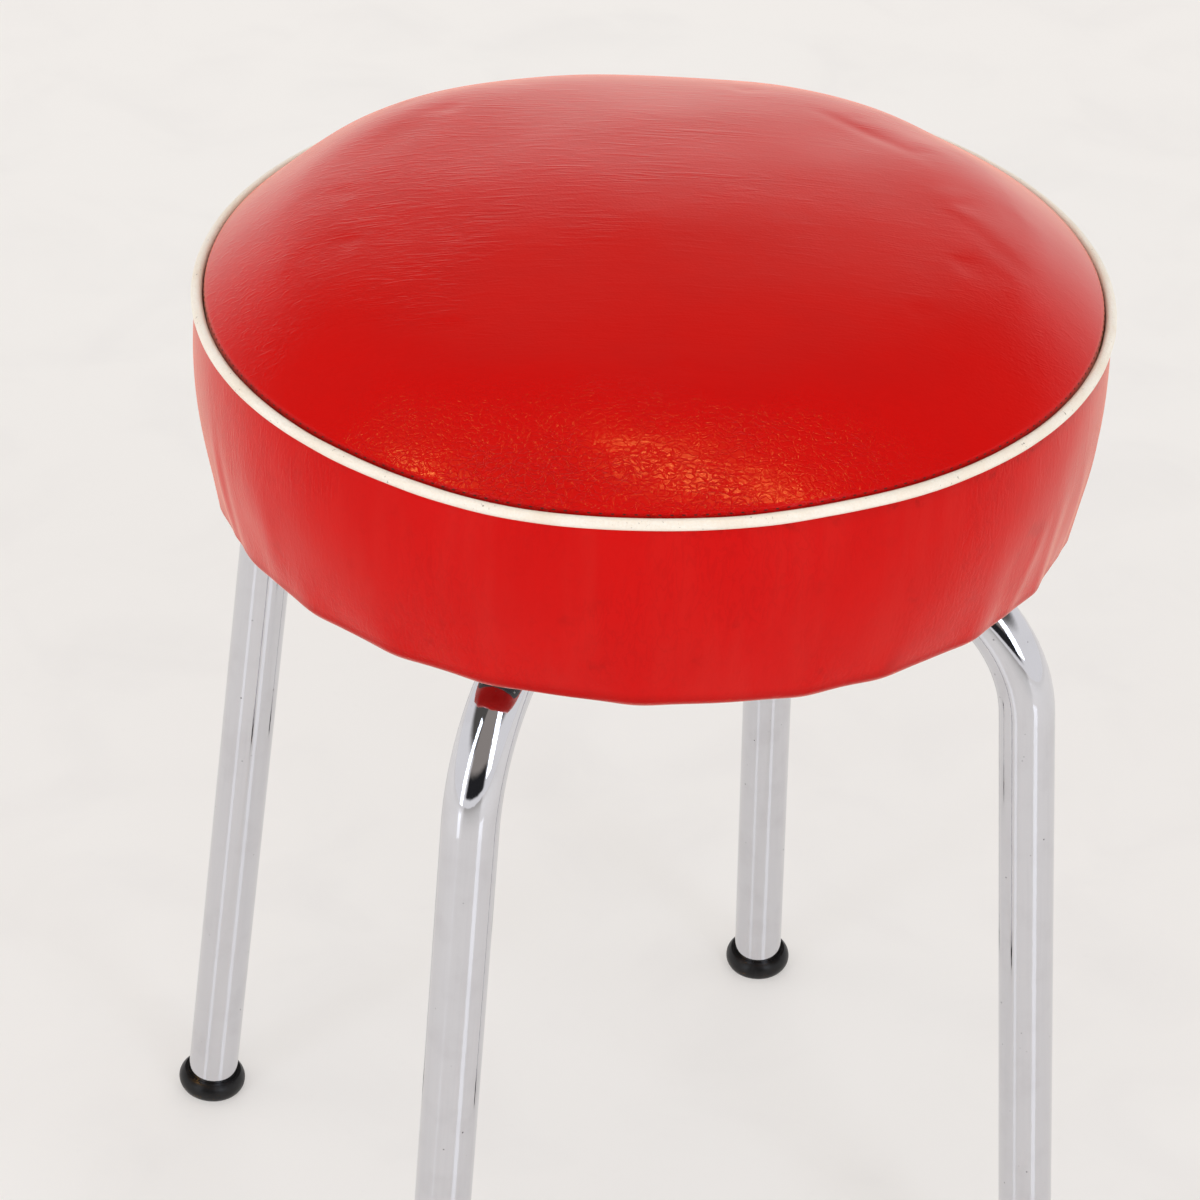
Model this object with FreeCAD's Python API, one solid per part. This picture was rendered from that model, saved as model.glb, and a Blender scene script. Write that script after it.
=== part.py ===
import FreeCAD
import Part
import math
import os

# Low four-legged stool: a round padded seat in red vinyl with cream piping, on a frame of
# bent chrome tube with black rubber feet.
# Units are millimetres. The origin is on the floor under the middle of the seat, +Z is up,
# and the legs stand on the X and Y axes: front -Y, right +X, back +Y, left -X.

# Seat form
SEAT_UNDERSIDE_HEIGHT = 373.5
SEAT_SIDE_HEIGHT = 81.5
SEAT_RADIUS = 174.0
CROWN_RISE = 41.0
CROWN_CENTRE_RADIUS = 120.0
CROWN_CENTRE_DROP = 10.2
BAND_STEP_OUT = 0.7
BAND_DRAW_IN = 8.4
BAND_BULGE = 4.3
SEAT_CORNER_RADIUS = 3.0

# Seat covers and trim
COVER_THICKNESS = 1.0
HEM_INNER_RADIUS = 132.0
SEAM_ALLOWANCE = 7.5
PIPING_DIAMETER = 5.2
PIPING_SKIN = 0.6
PIPING_LIFT = 1.0
THREAD_DIAMETER = 0.8
THREAD_DEPTH = 3.0
DUST_COVER_THICKNESS = 0.5
DUST_COVER_RADIUS = 152.0

# Seat board and its tee nuts
BOARD_THICKNESS = 12.0
TEE_NUT_FLANGE_DIAMETER = 18.0
TEE_NUT_FLANGE_THICKNESS = 1.5
TEE_NUT_BARREL_DIAMETER = 8.0
TEE_NUT_BARREL_LENGTH = 8.5
TEE_NUT_PRONG_COUNT = 4
TEE_NUT_PRONG_WIDTH = 2.0
TEE_NUT_PRONG_THICKNESS = 1.0
TEE_NUT_PRONG_LENGTH = 5.0
TEE_NUT_PRONG_INSET = 0.5

# Staples
STAPLE_CROWN = 10.0
STAPLE_WIRE_WIDTH = 1.2
STAPLE_WIRE_THICKNESS = 0.6
STAPLE_LEG_LENGTH = 8.0
COVER_STAPLE_COUNT = 24
COVER_STAPLE_RADIUS = 142.0
DUST_STAPLE_COUNT = 12
DUST_STAPLE_RADIUS = 148.0

# Tube frame
TUBE_DIAMETER = 22.0
TUBE_WALL = 1.5
FOOT_CIRCLE_RADIUS = 194.6
LEG_SPLAY = 5.61
BEND_RADIUS = 60.0
WELD_LEG = 3.5
WELD_REACH = 0.7

# Frame screws and saddle washers
SCREW_CIRCLE_RADIUS = 80.0
SCREW_DIAMETER = 6.0
SCREW_HEAD_DIAMETER = 12.0
SCREW_HEAD_HEIGHT = 3.5
SCREW_HEAD_ROUNDING = 1.5
SCREW_TIP_DEPTH = 2.0
SCREW_RECESS_LENGTH = 6.0
SCREW_RECESS_WIDTH = 1.2
SCREW_RECESS_DEPTH = 1.8
SADDLE_LENGTH = 16.0
SADDLE_BASE = 2.5
SADDLE_WRAP = 3.0
SADDLE_EDGE = 1.0

# Rubber feet, measured along the leg from the floor
FOOT_DIAMETER = 30.0
FOOT_BASE_DIAMETER = 25.0
FOOT_BULGE_HEIGHT = 4.8
FOOT_LIP_HEIGHT = 9.4
FOOT_LIP_WIDTH = 1.6
FOOT_SEAT_HEIGHT = 6.0
FOOT_STEM_LENGTH = 19.0
FOOT_STEM_CHAMFER = 1.0
FOOT_SURPLUS = 5.0

# Clearances
SEAM_GAP = 0.3
PLY_GAP = 0.1
CORD_GAP = 0.1
PAD_GAP = 0.3
FRAME_GAP = 0.2
COPE_GAP = 0.2
SCREW_HOLE_GAP = 0.3
THREAD_FIT_GAP = 0.05
FOOT_FIT_GAP = 0.1

LEG_ANGLES = {"front": 270.0, "right": 0.0, "back": 90.0, "left": 180.0}
FULL_TURN = 360.0
RIGHT_ANGLE = 90.0
UP = FreeCAD.Vector(0, 0, 1)
ORIGIN = FreeCAD.Vector(0, 0, 0)

# Heights and radii that follow from the driving dimensions
TUBE_RADIUS = TUBE_DIAMETER / 2
TUBE_BORE_RADIUS = TUBE_RADIUS - TUBE_WALL
PIPING_RADIUS = PIPING_DIAMETER / 2
SEAM_HEIGHT = SEAT_UNDERSIDE_HEIGHT + SEAT_SIDE_HEIGHT
SEAT_TOP_HEIGHT = SEAM_HEIGHT + CROWN_RISE
PIPING_HEIGHT = SEAM_HEIGHT + PIPING_LIFT
BAND_TOP_HEIGHT = PIPING_HEIGHT - PIPING_RADIUS - SEAM_GAP
BOARD_UNDERSIDE_HEIGHT = SEAT_UNDERSIDE_HEIGHT + COVER_THICKNESS
BOARD_TOP_HEIGHT = BOARD_UNDERSIDE_HEIGHT + BOARD_THICKNESS
DUST_COVER_HEIGHT = SEAT_UNDERSIDE_HEIGHT - DUST_COVER_THICKNESS
RUN_HEIGHT = DUST_COVER_HEIGHT - FRAME_GAP - TUBE_RADIUS
RUN_UNDERSIDE_HEIGHT = RUN_HEIGHT - TUBE_RADIUS
SADDLE_UNDERSIDE_HEIGHT = RUN_UNDERSIDE_HEIGHT - SADDLE_BASE
SCREW_HOLE_RADIUS = SCREW_DIAMETER / 2 + SCREW_HOLE_GAP

# Plies of the seam, from the inside out: top cover, piping tail, band
TOP_PLY_OUTER_RADIUS = SEAT_RADIUS - PIPING_RADIUS - SEAM_GAP
TOP_PLY_INNER_RADIUS = TOP_PLY_OUTER_RADIUS - COVER_THICKNESS
TAIL_INNER_RADIUS = TOP_PLY_OUTER_RADIUS + PLY_GAP
TAIL_OUTER_RADIUS = TAIL_INNER_RADIUS + 2 * PIPING_SKIN
BAND_PLY_INNER_RADIUS = TAIL_OUTER_RADIUS + PLY_GAP
SEAM_FOOT_HEIGHT = BAND_TOP_HEIGHT - SEAM_ALLOWANCE


def at(radius, height):
    """Point of an upright profile that is drawn in the XZ plane."""
    return FreeCAD.Vector(radius, 0, height)


def line(start, end):
    """Straight edge of a profile, between two (radius, height) pairs."""
    return Part.LineSegment(at(*start), at(*end)).toShape()


def arc(start, middle, end):
    """Circular edge of a profile, through three (radius, height) pairs."""
    return Part.Arc(at(*start), at(*middle), at(*end)).toShape()


def turned(edges):
    """Solid of revolution about the Z axis from a closed profile."""
    face = Part.Face(Part.Wire(edges))
    return face.revolve(ORIGIN, UP, FULL_TURN)


def ring(inner_radius, outer_radius, low, high):
    """Straight-walled ring about the Z axis."""
    outer = Part.makeCylinder(outer_radius, high - low, at(0, low))
    inner = Part.makeCylinder(inner_radius, high - low, at(0, low))
    return outer.cut(inner)


def about_z(shape, angle):
    """Copy of a shape, turned about the Z axis by an angle in degrees."""
    copy = shape.copy()
    copy.rotate(ORIGIN, UP, angle)
    return copy


def circle_through(first, second, third):
    """Centre and radius of the circle through three (radius, height) pairs."""
    circle = Part.Circle(at(*first), at(*second), at(*third))
    return circle.Center.x, circle.Center.z, circle.Radius


# Crown of the seat: a wide centre arc, then a shoulder arc that rolls down to the seam

def crown_arcs():
    """Centre height and radius of the middle arc, and centre and radius of the shoulder."""
    drop = CROWN_CENTRE_DROP
    middle_radius = (CROWN_CENTRE_RADIUS ** 2 + drop ** 2) / (2 * drop)
    middle_height = SEAT_TOP_HEIGHT - middle_radius
    normal_r = -CROWN_CENTRE_RADIUS / middle_radius
    normal_z = (drop - middle_radius) / middle_radius
    span_r = TOP_PLY_OUTER_RADIUS - CROWN_CENTRE_RADIUS
    span_z = SEAM_HEIGHT - (SEAT_TOP_HEIGHT - drop)
    along = normal_r * span_r + normal_z * span_z
    shoulder_radius = (span_r ** 2 + span_z ** 2) / (2 * along)
    shoulder_r = CROWN_CENTRE_RADIUS + shoulder_radius * normal_r
    shoulder_z = SEAT_TOP_HEIGHT - drop + shoulder_radius * normal_z
    return middle_height, middle_radius, shoulder_r, shoulder_z, shoulder_radius


def crown_body(inset):
    """Solid under the crown and above the seam, drawn in by an inset."""
    middle_height, middle_radius, shoulder_r, shoulder_z, shoulder_radius = crown_arcs()
    middle = middle_radius - inset
    shoulder = shoulder_radius - inset
    join_angle = math.asin(CROWN_CENTRE_RADIUS / middle_radius)
    half_angle = join_angle / 2
    edge_angle = math.asin((SEAM_HEIGHT - shoulder_z) / shoulder)
    mean_angle = (math.pi / 2 - join_angle + edge_angle) / 2
    apex = (0, middle_height + middle)
    crown = (middle * math.sin(half_angle), middle_height + middle * math.cos(half_angle))
    join = (middle * math.sin(join_angle), middle_height + middle * math.cos(join_angle))
    roll = (shoulder_r + shoulder * math.cos(mean_angle), shoulder_z + shoulder * math.sin(mean_angle))
    edge = (shoulder_r + shoulder * math.cos(edge_angle), SEAM_HEIGHT)
    middle_of_seam = (0, SEAM_HEIGHT)
    return turned([
        line(middle_of_seam, edge),
        arc(edge, roll, join),
        arc(join, crown, apex),
        line(apex, middle_of_seam),
    ])


# Side of the seat: one arc that bellies out below the piping and draws in to the underside

def side_circle():
    """Centre and radius of the side's arc."""
    top = (SEAT_RADIUS + BAND_STEP_OUT, BAND_TOP_HEIGHT)
    bottom = (SEAT_RADIUS - BAND_DRAW_IN, SEAT_UNDERSIDE_HEIGHT)
    middle_radius = (top[0] + bottom[0]) / 2 + BAND_BULGE
    middle = (middle_radius, (top[1] + bottom[1]) / 2)
    return circle_through(top, middle, bottom)


def side_radius(height, inset):
    """Radius of the seat's side at a height, drawn in by an inset."""
    centre_r, centre_z, radius = side_circle()
    return centre_r + math.sqrt((radius - inset) ** 2 - (height - centre_z) ** 2)


def side_body(inset, low, high, corner):
    """Solid inside the seat's side from one height to another, with a rounded lower edge."""
    middle = (low + high) / 2
    lower_rim = (side_radius(low, inset), low)
    belly = (side_radius(middle, inset), middle)
    upper_rim = (side_radius(high, inset), high)
    body = turned([
        line((0, low), lower_rim),
        arc(lower_rim, belly, upper_rim),
        line(upper_rim, (0, high)),
        line((0, high), (0, low)),
    ])
    if corner <= 0:
        return body
    rims = [edge for edge in body.Edges if is_rim(edge, low)]
    return body.makeFillet(corner, rims)


def is_rim(edge, height):
    """Whether an edge is a full circle at a height."""
    box = edge.BoundBox
    level = abs(box.ZMin - height) < PLY_GAP and abs(box.ZMax - height) < PLY_GAP
    return level and box.XLength > SEAT_RADIUS


# Seat pieces

def make_top_cover():
    """Vinyl top panel with its seam ply turned down inside the piping."""
    panel = crown_body(0).cut(crown_body(COVER_THICKNESS))
    ply = ring(TOP_PLY_INNER_RADIUS, TOP_PLY_OUTER_RADIUS, SEAM_FOOT_HEIGHT, SEAM_HEIGHT)
    return panel.fuse(ply).removeSplitter()


def make_side_band(staples):
    """Vinyl side band with its seam ply, and its hem turned under the board."""
    skin = side_body(0, SEAT_UNDERSIDE_HEIGHT, BAND_TOP_HEIGHT, SEAT_CORNER_RADIUS)
    ply_bore = Part.makeCylinder(BAND_PLY_INNER_RADIUS, SEAT_SIDE_HEIGHT, at(0, SEAM_FOOT_HEIGHT))
    hem_bore = Part.makeCylinder(HEM_INNER_RADIUS, SEAT_SIDE_HEIGHT, at(0, DUST_COVER_HEIGHT))
    inner_corner = SEAT_CORNER_RADIUS - COVER_THICKNESS
    room = side_body(COVER_THICKNESS, BOARD_UNDERSIDE_HEIGHT, SEAM_FOOT_HEIGHT, inner_corner)
    return skin.cut(room).cut(ply_bore).cut(hem_bore).cut(staples)


def make_piping_cover():
    """Vinyl strip wrapped round the cord, with its tail sewn into the seam."""
    roll = Part.makeTorus(SEAT_RADIUS, PIPING_RADIUS, at(0, PIPING_HEIGHT))
    tail = ring(TAIL_INNER_RADIUS, TAIL_OUTER_RADIUS, SEAM_FOOT_HEIGHT, PIPING_HEIGHT)
    bore = Part.makeTorus(SEAT_RADIUS, PIPING_RADIUS - PIPING_SKIN, at(0, PIPING_HEIGHT))
    return roll.fuse(tail).cut(bore).removeSplitter()


def make_piping_cord():
    """Filler cord inside the piping."""
    return Part.makeTorus(SEAT_RADIUS, PIPING_RADIUS - PIPING_SKIN - CORD_GAP, at(0, PIPING_HEIGHT))


def make_seam_thread():
    """Sewing thread that runs round the seam, inside the top cover's ply."""
    radius = TOP_PLY_INNER_RADIUS - PLY_GAP - THREAD_DIAMETER / 2
    return Part.makeTorus(radius, THREAD_DIAMETER / 2, at(0, BAND_TOP_HEIGHT - THREAD_DEPTH))


def make_foam_pad():
    """Foam cushion with its crown, its drawn-in side and a step for the seam plies."""
    inset = COVER_THICKNESS + PAD_GAP
    neck_radius = TOP_PLY_INNER_RADIUS - PLY_GAP - THREAD_DIAMETER - PAD_GAP
    step_height = SEAM_FOOT_HEIGHT - PAD_GAP
    lower = side_body(inset, BOARD_TOP_HEIGHT, step_height, 0)
    neck = Part.makeCylinder(neck_radius, SEAM_HEIGHT - step_height, at(0, step_height))
    return lower.fuse([neck, crown_body(inset)]).removeSplitter()


def make_seat_board(staples, tee_nuts):
    """Plywood disc, with its staple slots and the seats of its tee nuts."""
    inset = COVER_THICKNESS + PAD_GAP
    board_radius = side_radius(BOARD_UNDERSIDE_HEIGHT, inset)
    disc = Part.makeCylinder(board_radius, BOARD_THICKNESS, at(0, BOARD_UNDERSIDE_HEIGHT))
    rounding = SEAT_CORNER_RADIUS - inset
    rims = [edge for edge in disc.Edges if is_rim(edge, BOARD_UNDERSIDE_HEIGHT)]
    if rounding > 0:
        disc = disc.makeFillet(rounding, rims)
    bore_start = at(SCREW_CIRCLE_RADIUS, BOARD_UNDERSIDE_HEIGHT)
    bore = Part.makeCylinder(TEE_NUT_BARREL_DIAMETER / 2, BOARD_THICKNESS, bore_start)
    for angle in LEG_ANGLES.values():
        disc = disc.cut(about_z(bore, angle))
    return disc.cut(staples).cut(tee_nuts)


def make_dust_cover(staples):
    """Thin cloth disc that closes the underside of the seat."""
    disc = Part.makeCylinder(DUST_COVER_RADIUS, DUST_COVER_THICKNESS, at(0, DUST_COVER_HEIGHT))
    hole_start = at(SCREW_CIRCLE_RADIUS, DUST_COVER_HEIGHT)
    hole = Part.makeCylinder(SCREW_HOLE_RADIUS, DUST_COVER_THICKNESS, hole_start)
    for angle in LEG_ANGLES.values():
        disc = disc.cut(about_z(hole, angle))
    return disc.cut(staples)


# Staples and screws

def make_staples(count, radius, height):
    """Ring of staples driven up from a height, with their crowns along the rim."""
    width = STAPLE_WIRE_WIDTH
    thickness = STAPLE_WIRE_THICKNESS
    corner = FreeCAD.Vector(radius - width / 2, -STAPLE_CROWN / 2, height)
    staple = Part.makeBox(width, STAPLE_CROWN, thickness, corner)
    for side in (0, STAPLE_CROWN - thickness):
        start = corner + FreeCAD.Vector(0, side, 0)
        staple = staple.fuse(Part.makeBox(width, thickness, STAPLE_LEG_LENGTH, start))
    staple = staple.removeSplitter()
    pitch = FULL_TURN / count
    return Part.makeCompound([about_z(staple, pitch * (place + 1 / 2)) for place in range(count)])


def make_tee_nut():
    """Flanged nut with a threaded barrel and prongs, set down into the board from above."""
    flange_height = BOARD_TOP_HEIGHT - TEE_NUT_FLANGE_THICKNESS
    barrel_height = flange_height - TEE_NUT_BARREL_LENGTH
    flange_radius = TEE_NUT_FLANGE_DIAMETER / 2
    barrel_radius = TEE_NUT_BARREL_DIAMETER / 2
    flange = Part.makeCylinder(flange_radius, TEE_NUT_FLANGE_THICKNESS, at(0, flange_height))
    barrel = Part.makeCylinder(barrel_radius, TEE_NUT_BARREL_LENGTH, at(0, barrel_height))
    nut = flange.fuse(barrel)
    prong_radius = flange_radius - TEE_NUT_PRONG_INSET - TEE_NUT_PRONG_THICKNESS
    prong_side = -TEE_NUT_PRONG_WIDTH / 2
    prong_corner = FreeCAD.Vector(prong_radius, prong_side, flange_height - TEE_NUT_PRONG_LENGTH)
    prong = Part.makeBox(TEE_NUT_PRONG_THICKNESS, TEE_NUT_PRONG_WIDTH, TEE_NUT_PRONG_LENGTH, prong_corner)
    for place in range(TEE_NUT_PRONG_COUNT):
        nut = nut.fuse(about_z(prong, FULL_TURN * place / TEE_NUT_PRONG_COUNT))
    bore_length = BOARD_TOP_HEIGHT - barrel_height
    bore = Part.makeCylinder(SCREW_DIAMETER / 2 + THREAD_FIT_GAP, bore_length, at(0, barrel_height))
    return nut.cut(bore).removeSplitter()


def make_screw():
    """Pan-head machine screw that points up, with a cross recess in its head."""
    head_height = SADDLE_UNDERSIDE_HEIGHT - SCREW_HEAD_HEIGHT
    head = Part.makeCylinder(SCREW_HEAD_DIAMETER / 2, SCREW_HEAD_HEIGHT, at(0, head_height))
    rims = [edge for edge in head.Edges if edge.BoundBox.ZMax < head_height + THREAD_FIT_GAP]
    head = head.makeFillet(SCREW_HEAD_ROUNDING, rims)
    shank_length = BOARD_TOP_HEIGHT - SCREW_TIP_DEPTH - SADDLE_UNDERSIDE_HEIGHT
    shank = Part.makeCylinder(SCREW_DIAMETER / 2, shank_length, at(0, SADDLE_UNDERSIDE_HEIGHT))
    screw = head.fuse(shank)
    slot_corner = FreeCAD.Vector(-SCREW_RECESS_LENGTH / 2, -SCREW_RECESS_WIDTH / 2, head_height)
    slot = Part.makeBox(SCREW_RECESS_LENGTH, SCREW_RECESS_WIDTH, SCREW_RECESS_DEPTH, slot_corner)
    return screw.cut(slot).cut(about_z(slot, RIGHT_ANGLE)).removeSplitter()


def make_saddle_washer():
    """Block under the tube with a hollow top that fits the tube, drawn for a tube along X."""
    height = SADDLE_BASE + SADDLE_WRAP
    corner = FreeCAD.Vector(-SADDLE_LENGTH / 2, -SADDLE_LENGTH / 2, SADDLE_UNDERSIDE_HEIGHT)
    block = Part.makeBox(SADDLE_LENGTH, SADDLE_LENGTH, height, corner)
    upright = [edge for edge in block.Edges if edge.BoundBox.ZLength > SADDLE_BASE]
    block = block.makeFillet(SADDLE_EDGE, upright)
    tube = along_x(TUBE_RADIUS + PLY_GAP, SADDLE_LENGTH)
    hole = Part.makeCylinder(SCREW_HOLE_RADIUS, height, at(0, SADDLE_UNDERSIDE_HEIGHT))
    return block.cut(tube).cut(hole)


def along_x(radius, reach):
    """Cylinder on the axis of a horizontal run, from -reach to +reach along X."""
    start = FreeCAD.Vector(-reach, 0, RUN_HEIGHT)
    return Part.makeCylinder(radius, 2 * reach, start, FreeCAD.Vector(1, 0, 0))


def at_each_screw(shape):
    """Copies of a shape at the four screw places, one under each leg's run."""
    moved = shape.copy()
    moved.translate(FreeCAD.Vector(SCREW_CIRCLE_RADIUS, 0, 0))
    return Part.makeCompound([about_z(moved, angle) for angle in LEG_ANGLES.values()])


# Tube frame

SPLAY = math.radians(LEG_SPLAY)
LEG_TOP_RADIUS = FOOT_CIRCLE_RADIUS - RUN_HEIGHT * math.tan(SPLAY)
BEND_TANGENT = BEND_RADIUS * math.tan((math.pi / 2 - SPLAY) / 2)
BEND_START_RADIUS = LEG_TOP_RADIUS - BEND_TANGENT


def leg_tube(radius):
    """One bar of a leg on the +X side: up from the foot, round the bend and in to the middle."""
    leg_up = FreeCAD.Vector(-math.sin(SPLAY), 0, math.cos(SPLAY))
    floor_point = at(FOOT_CIRCLE_RADIUS, 0)
    leg_length = RUN_HEIGHT / math.cos(SPLAY) - BEND_TANGENT
    tube_end = floor_point + leg_up * FOOT_SEAT_HEIGHT
    straight = Part.makeCylinder(radius, leg_length - FOOT_SEAT_HEIGHT, tube_end, leg_up)
    run_start = at(BEND_START_RADIUS, RUN_HEIGHT)
    section = Part.Face(Part.Wire(Part.makeCircle(radius, run_start, FreeCAD.Vector(1, 0, 0))))
    bend_centre = at(BEND_START_RADIUS, RUN_HEIGHT - BEND_RADIUS)
    bend = section.revolve(bend_centre, FreeCAD.Vector(0, 1, 0), RIGHT_ANGLE - LEG_SPLAY)
    run = Part.makeCylinder(radius, BEND_START_RADIUS, at(0, RUN_HEIGHT), FreeCAD.Vector(1, 0, 0))
    return straight.fuse([bend, run]).removeSplitter()


def screw_drill(angle):
    """Drill through both walls of a run, at its screw."""
    drill_start = at(SCREW_CIRCLE_RADIUS, RUN_HEIGHT - TUBE_DIAMETER)
    return about_z(Part.makeCylinder(SCREW_HOLE_RADIUS, 2 * TUBE_DIAMETER, drill_start), angle)


def make_through_tube(names):
    """Tube that makes two opposite legs in one length."""
    outer = about_z(leg_tube(TUBE_RADIUS), LEG_ANGLES[names[0]])
    inner = about_z(leg_tube(TUBE_BORE_RADIUS), LEG_ANGLES[names[0]])
    outer = outer.fuse(about_z(leg_tube(TUBE_RADIUS), LEG_ANGLES[names[1]])).removeSplitter()
    inner = inner.fuse(about_z(leg_tube(TUBE_BORE_RADIUS), LEG_ANGLES[names[1]])).removeSplitter()
    tube = outer.cut(inner)
    for name in names:
        tube = tube.cut(screw_drill(LEG_ANGLES[name]))
    return tube


def make_half_tube(name):
    """Tube that makes one leg, coped where it meets the through tube."""
    angle = LEG_ANGLES[name]
    tube = about_z(leg_tube(TUBE_RADIUS).cut(leg_tube(TUBE_BORE_RADIUS)), angle)
    cope = about_z(along_x(TUBE_RADIUS + COPE_GAP, TUBE_DIAMETER), angle + RIGHT_ANGLE)
    return tube.cut(cope).cut(screw_drill(angle))


def make_welds():
    """Fillet welds in the four corners where the tubes cross."""
    reach = TUBE_RADIUS + WELD_LEG
    half_height = TUBE_RADIUS * WELD_REACH
    slab_corner = FreeCAD.Vector(-reach, -reach, RUN_HEIGHT - half_height)
    slab = Part.makeBox(2 * reach, 2 * reach, 2 * half_height, slab_corner)
    along = along_x(TUBE_RADIUS, 2 * reach)
    wide = along_x(reach, 2 * reach)
    corners = wide.common(about_z(wide, RIGHT_ANGLE)).common(slab)
    return corners.cut(along).cut(about_z(along, RIGHT_ANGLE))


def make_foot(name):
    """Rubber foot: a rounded ring under the tube's end, with a stem up its bore."""
    base_radius = FOOT_BASE_DIAMETER / 2
    bulge = (FOOT_DIAMETER / 2, FOOT_BULGE_HEIGHT)
    lip_radius = TUBE_RADIUS + FOOT_FIT_GAP
    lip_rim = (lip_radius + FOOT_LIP_WIDTH, FOOT_LIP_HEIGHT)
    stem_radius = TUBE_BORE_RADIUS - FOOT_FIT_GAP
    stem_top = FOOT_SEAT_HEIGHT + FOOT_STEM_LENGTH
    foot = turned([
        line((0, -FOOT_SURPLUS), (base_radius, -FOOT_SURPLUS)),
        line((base_radius, -FOOT_SURPLUS), (base_radius, 0)),
        arc((base_radius, 0), bulge, lip_rim),
        line(lip_rim, (lip_radius, FOOT_LIP_HEIGHT)),
        line((lip_radius, FOOT_LIP_HEIGHT), (lip_radius, FOOT_SEAT_HEIGHT)),
        line((lip_radius, FOOT_SEAT_HEIGHT), (stem_radius, FOOT_SEAT_HEIGHT)),
        line((stem_radius, FOOT_SEAT_HEIGHT), (stem_radius, stem_top - FOOT_STEM_CHAMFER)),
        line((stem_radius, stem_top - FOOT_STEM_CHAMFER), (stem_radius - FOOT_STEM_CHAMFER, stem_top)),
        line((stem_radius - FOOT_STEM_CHAMFER, stem_top), (0, stem_top)),
        line((0, stem_top), (0, -FOOT_SURPLUS)),
    ])
    foot.rotate(ORIGIN, FreeCAD.Vector(0, 1, 0), -LEG_SPLAY)
    foot.translate(at(FOOT_CIRCLE_RADIUS, 0))
    below_corner = FreeCAD.Vector(FOOT_CIRCLE_RADIUS - FOOT_DIAMETER, -FOOT_DIAMETER, -FOOT_DIAMETER)
    below = Part.makeBox(2 * FOOT_DIAMETER, 2 * FOOT_DIAMETER, FOOT_DIAMETER, below_corner)
    return about_z(foot.cut(below), LEG_ANGLES[name])


def make_nodes():
    """Every piece of the stool, by its name."""
    cover_staples = make_staples(COVER_STAPLE_COUNT, COVER_STAPLE_RADIUS, SEAT_UNDERSIDE_HEIGHT)
    dust_staples = make_staples(DUST_STAPLE_COUNT, DUST_STAPLE_RADIUS, DUST_COVER_HEIGHT)
    all_staples = Part.makeCompound([cover_staples, dust_staples])
    tee_nuts = at_each_screw(make_tee_nut())
    nodes = {
        "top_cover": make_top_cover(),
        "side_band": make_side_band(all_staples),
        "piping_cover": make_piping_cover(),
        "piping_cord": make_piping_cord(),
        "seam_thread": make_seam_thread(),
        "foam_pad": make_foam_pad(),
        "seat_board": make_seat_board(all_staples, tee_nuts),
        "tee_nuts": tee_nuts,
        "dust_cover": make_dust_cover(all_staples),
        "cover_staples": cover_staples,
        "dust_cover_staples": dust_staples,
        "front_back_tube": make_through_tube(("front", "back")),
        "right_tube": make_half_tube("right"),
        "left_tube": make_half_tube("left"),
        "frame_welds": make_welds(),
        "saddle_washers": at_each_screw(make_saddle_washer()),
        "frame_screws": at_each_screw(make_screw()),
    }
    for name in LEG_ANGLES:
        nodes["foot_" + name] = make_foot(name)
    return nodes


def main():
    """Write one STEP file per piece."""
    os.makedirs("parts", exist_ok=True)
    for name, shape in make_nodes().items():
        shape.exportStep("parts/" + name + ".step")
        box = shape.BoundBox
        print(name, "solids", len(shape.Solids), "valid", shape.isValid(), "volume", round(shape.Volume, 1),
              "z", round(box.ZMin, 2), round(box.ZMax, 2))


main()
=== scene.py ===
import logging
import math
from dataclasses import dataclass, field
from enum import Enum
from typing import Any, Mapping, Optional, Sequence, Tuple, Union

import bpy
import numpy as np
from mathutils import Matrix, Vector


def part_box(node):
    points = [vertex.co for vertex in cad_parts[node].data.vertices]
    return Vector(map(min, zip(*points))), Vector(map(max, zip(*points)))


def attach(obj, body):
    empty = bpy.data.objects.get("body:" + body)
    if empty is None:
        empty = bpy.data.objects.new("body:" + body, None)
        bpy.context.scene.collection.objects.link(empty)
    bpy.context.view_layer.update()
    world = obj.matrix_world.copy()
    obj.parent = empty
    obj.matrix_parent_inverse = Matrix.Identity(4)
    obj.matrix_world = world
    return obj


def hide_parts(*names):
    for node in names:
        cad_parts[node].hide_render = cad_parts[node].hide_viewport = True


# Looks of a low four-legged stool: red vinyl seat with cream piping on bent chrome tube.
# Metres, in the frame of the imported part: origin on the floor, +Z up, legs on the X and Y axes.
# The finishes count in millimetres.

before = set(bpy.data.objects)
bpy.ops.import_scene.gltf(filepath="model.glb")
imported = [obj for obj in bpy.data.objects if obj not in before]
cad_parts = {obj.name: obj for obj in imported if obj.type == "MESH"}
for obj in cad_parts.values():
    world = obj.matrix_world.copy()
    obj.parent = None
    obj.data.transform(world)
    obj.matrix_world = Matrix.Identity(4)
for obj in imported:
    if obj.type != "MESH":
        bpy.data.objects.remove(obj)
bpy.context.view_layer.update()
ROOT = "root"
MM = 0.001
TURN = 2 * math.pi
log = logging.getLogger("stool")

Colour = Tuple[float, float, float, float]
Triple = Tuple[float, float, float]
Pair = Tuple[float, float]


def srgb(red: int, green: int, blue: int) -> Colour:
    """Scene colour of a screen colour that is given as three numbers up to 255.

    Args:
        red: Its red.
        green: Its green.
        blue: Its blue.

    Returns:
        The colour, opaque.
    """
    def linear(value: int) -> float:
        """Light of one channel, from 0 to 1."""
        share = value / 255
        return share / 12.92 if share <= 0.04045 else ((share + 0.055) / 1.055) ** 2.4
    return linear(red), linear(green), linear(blue), 1.0


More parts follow.
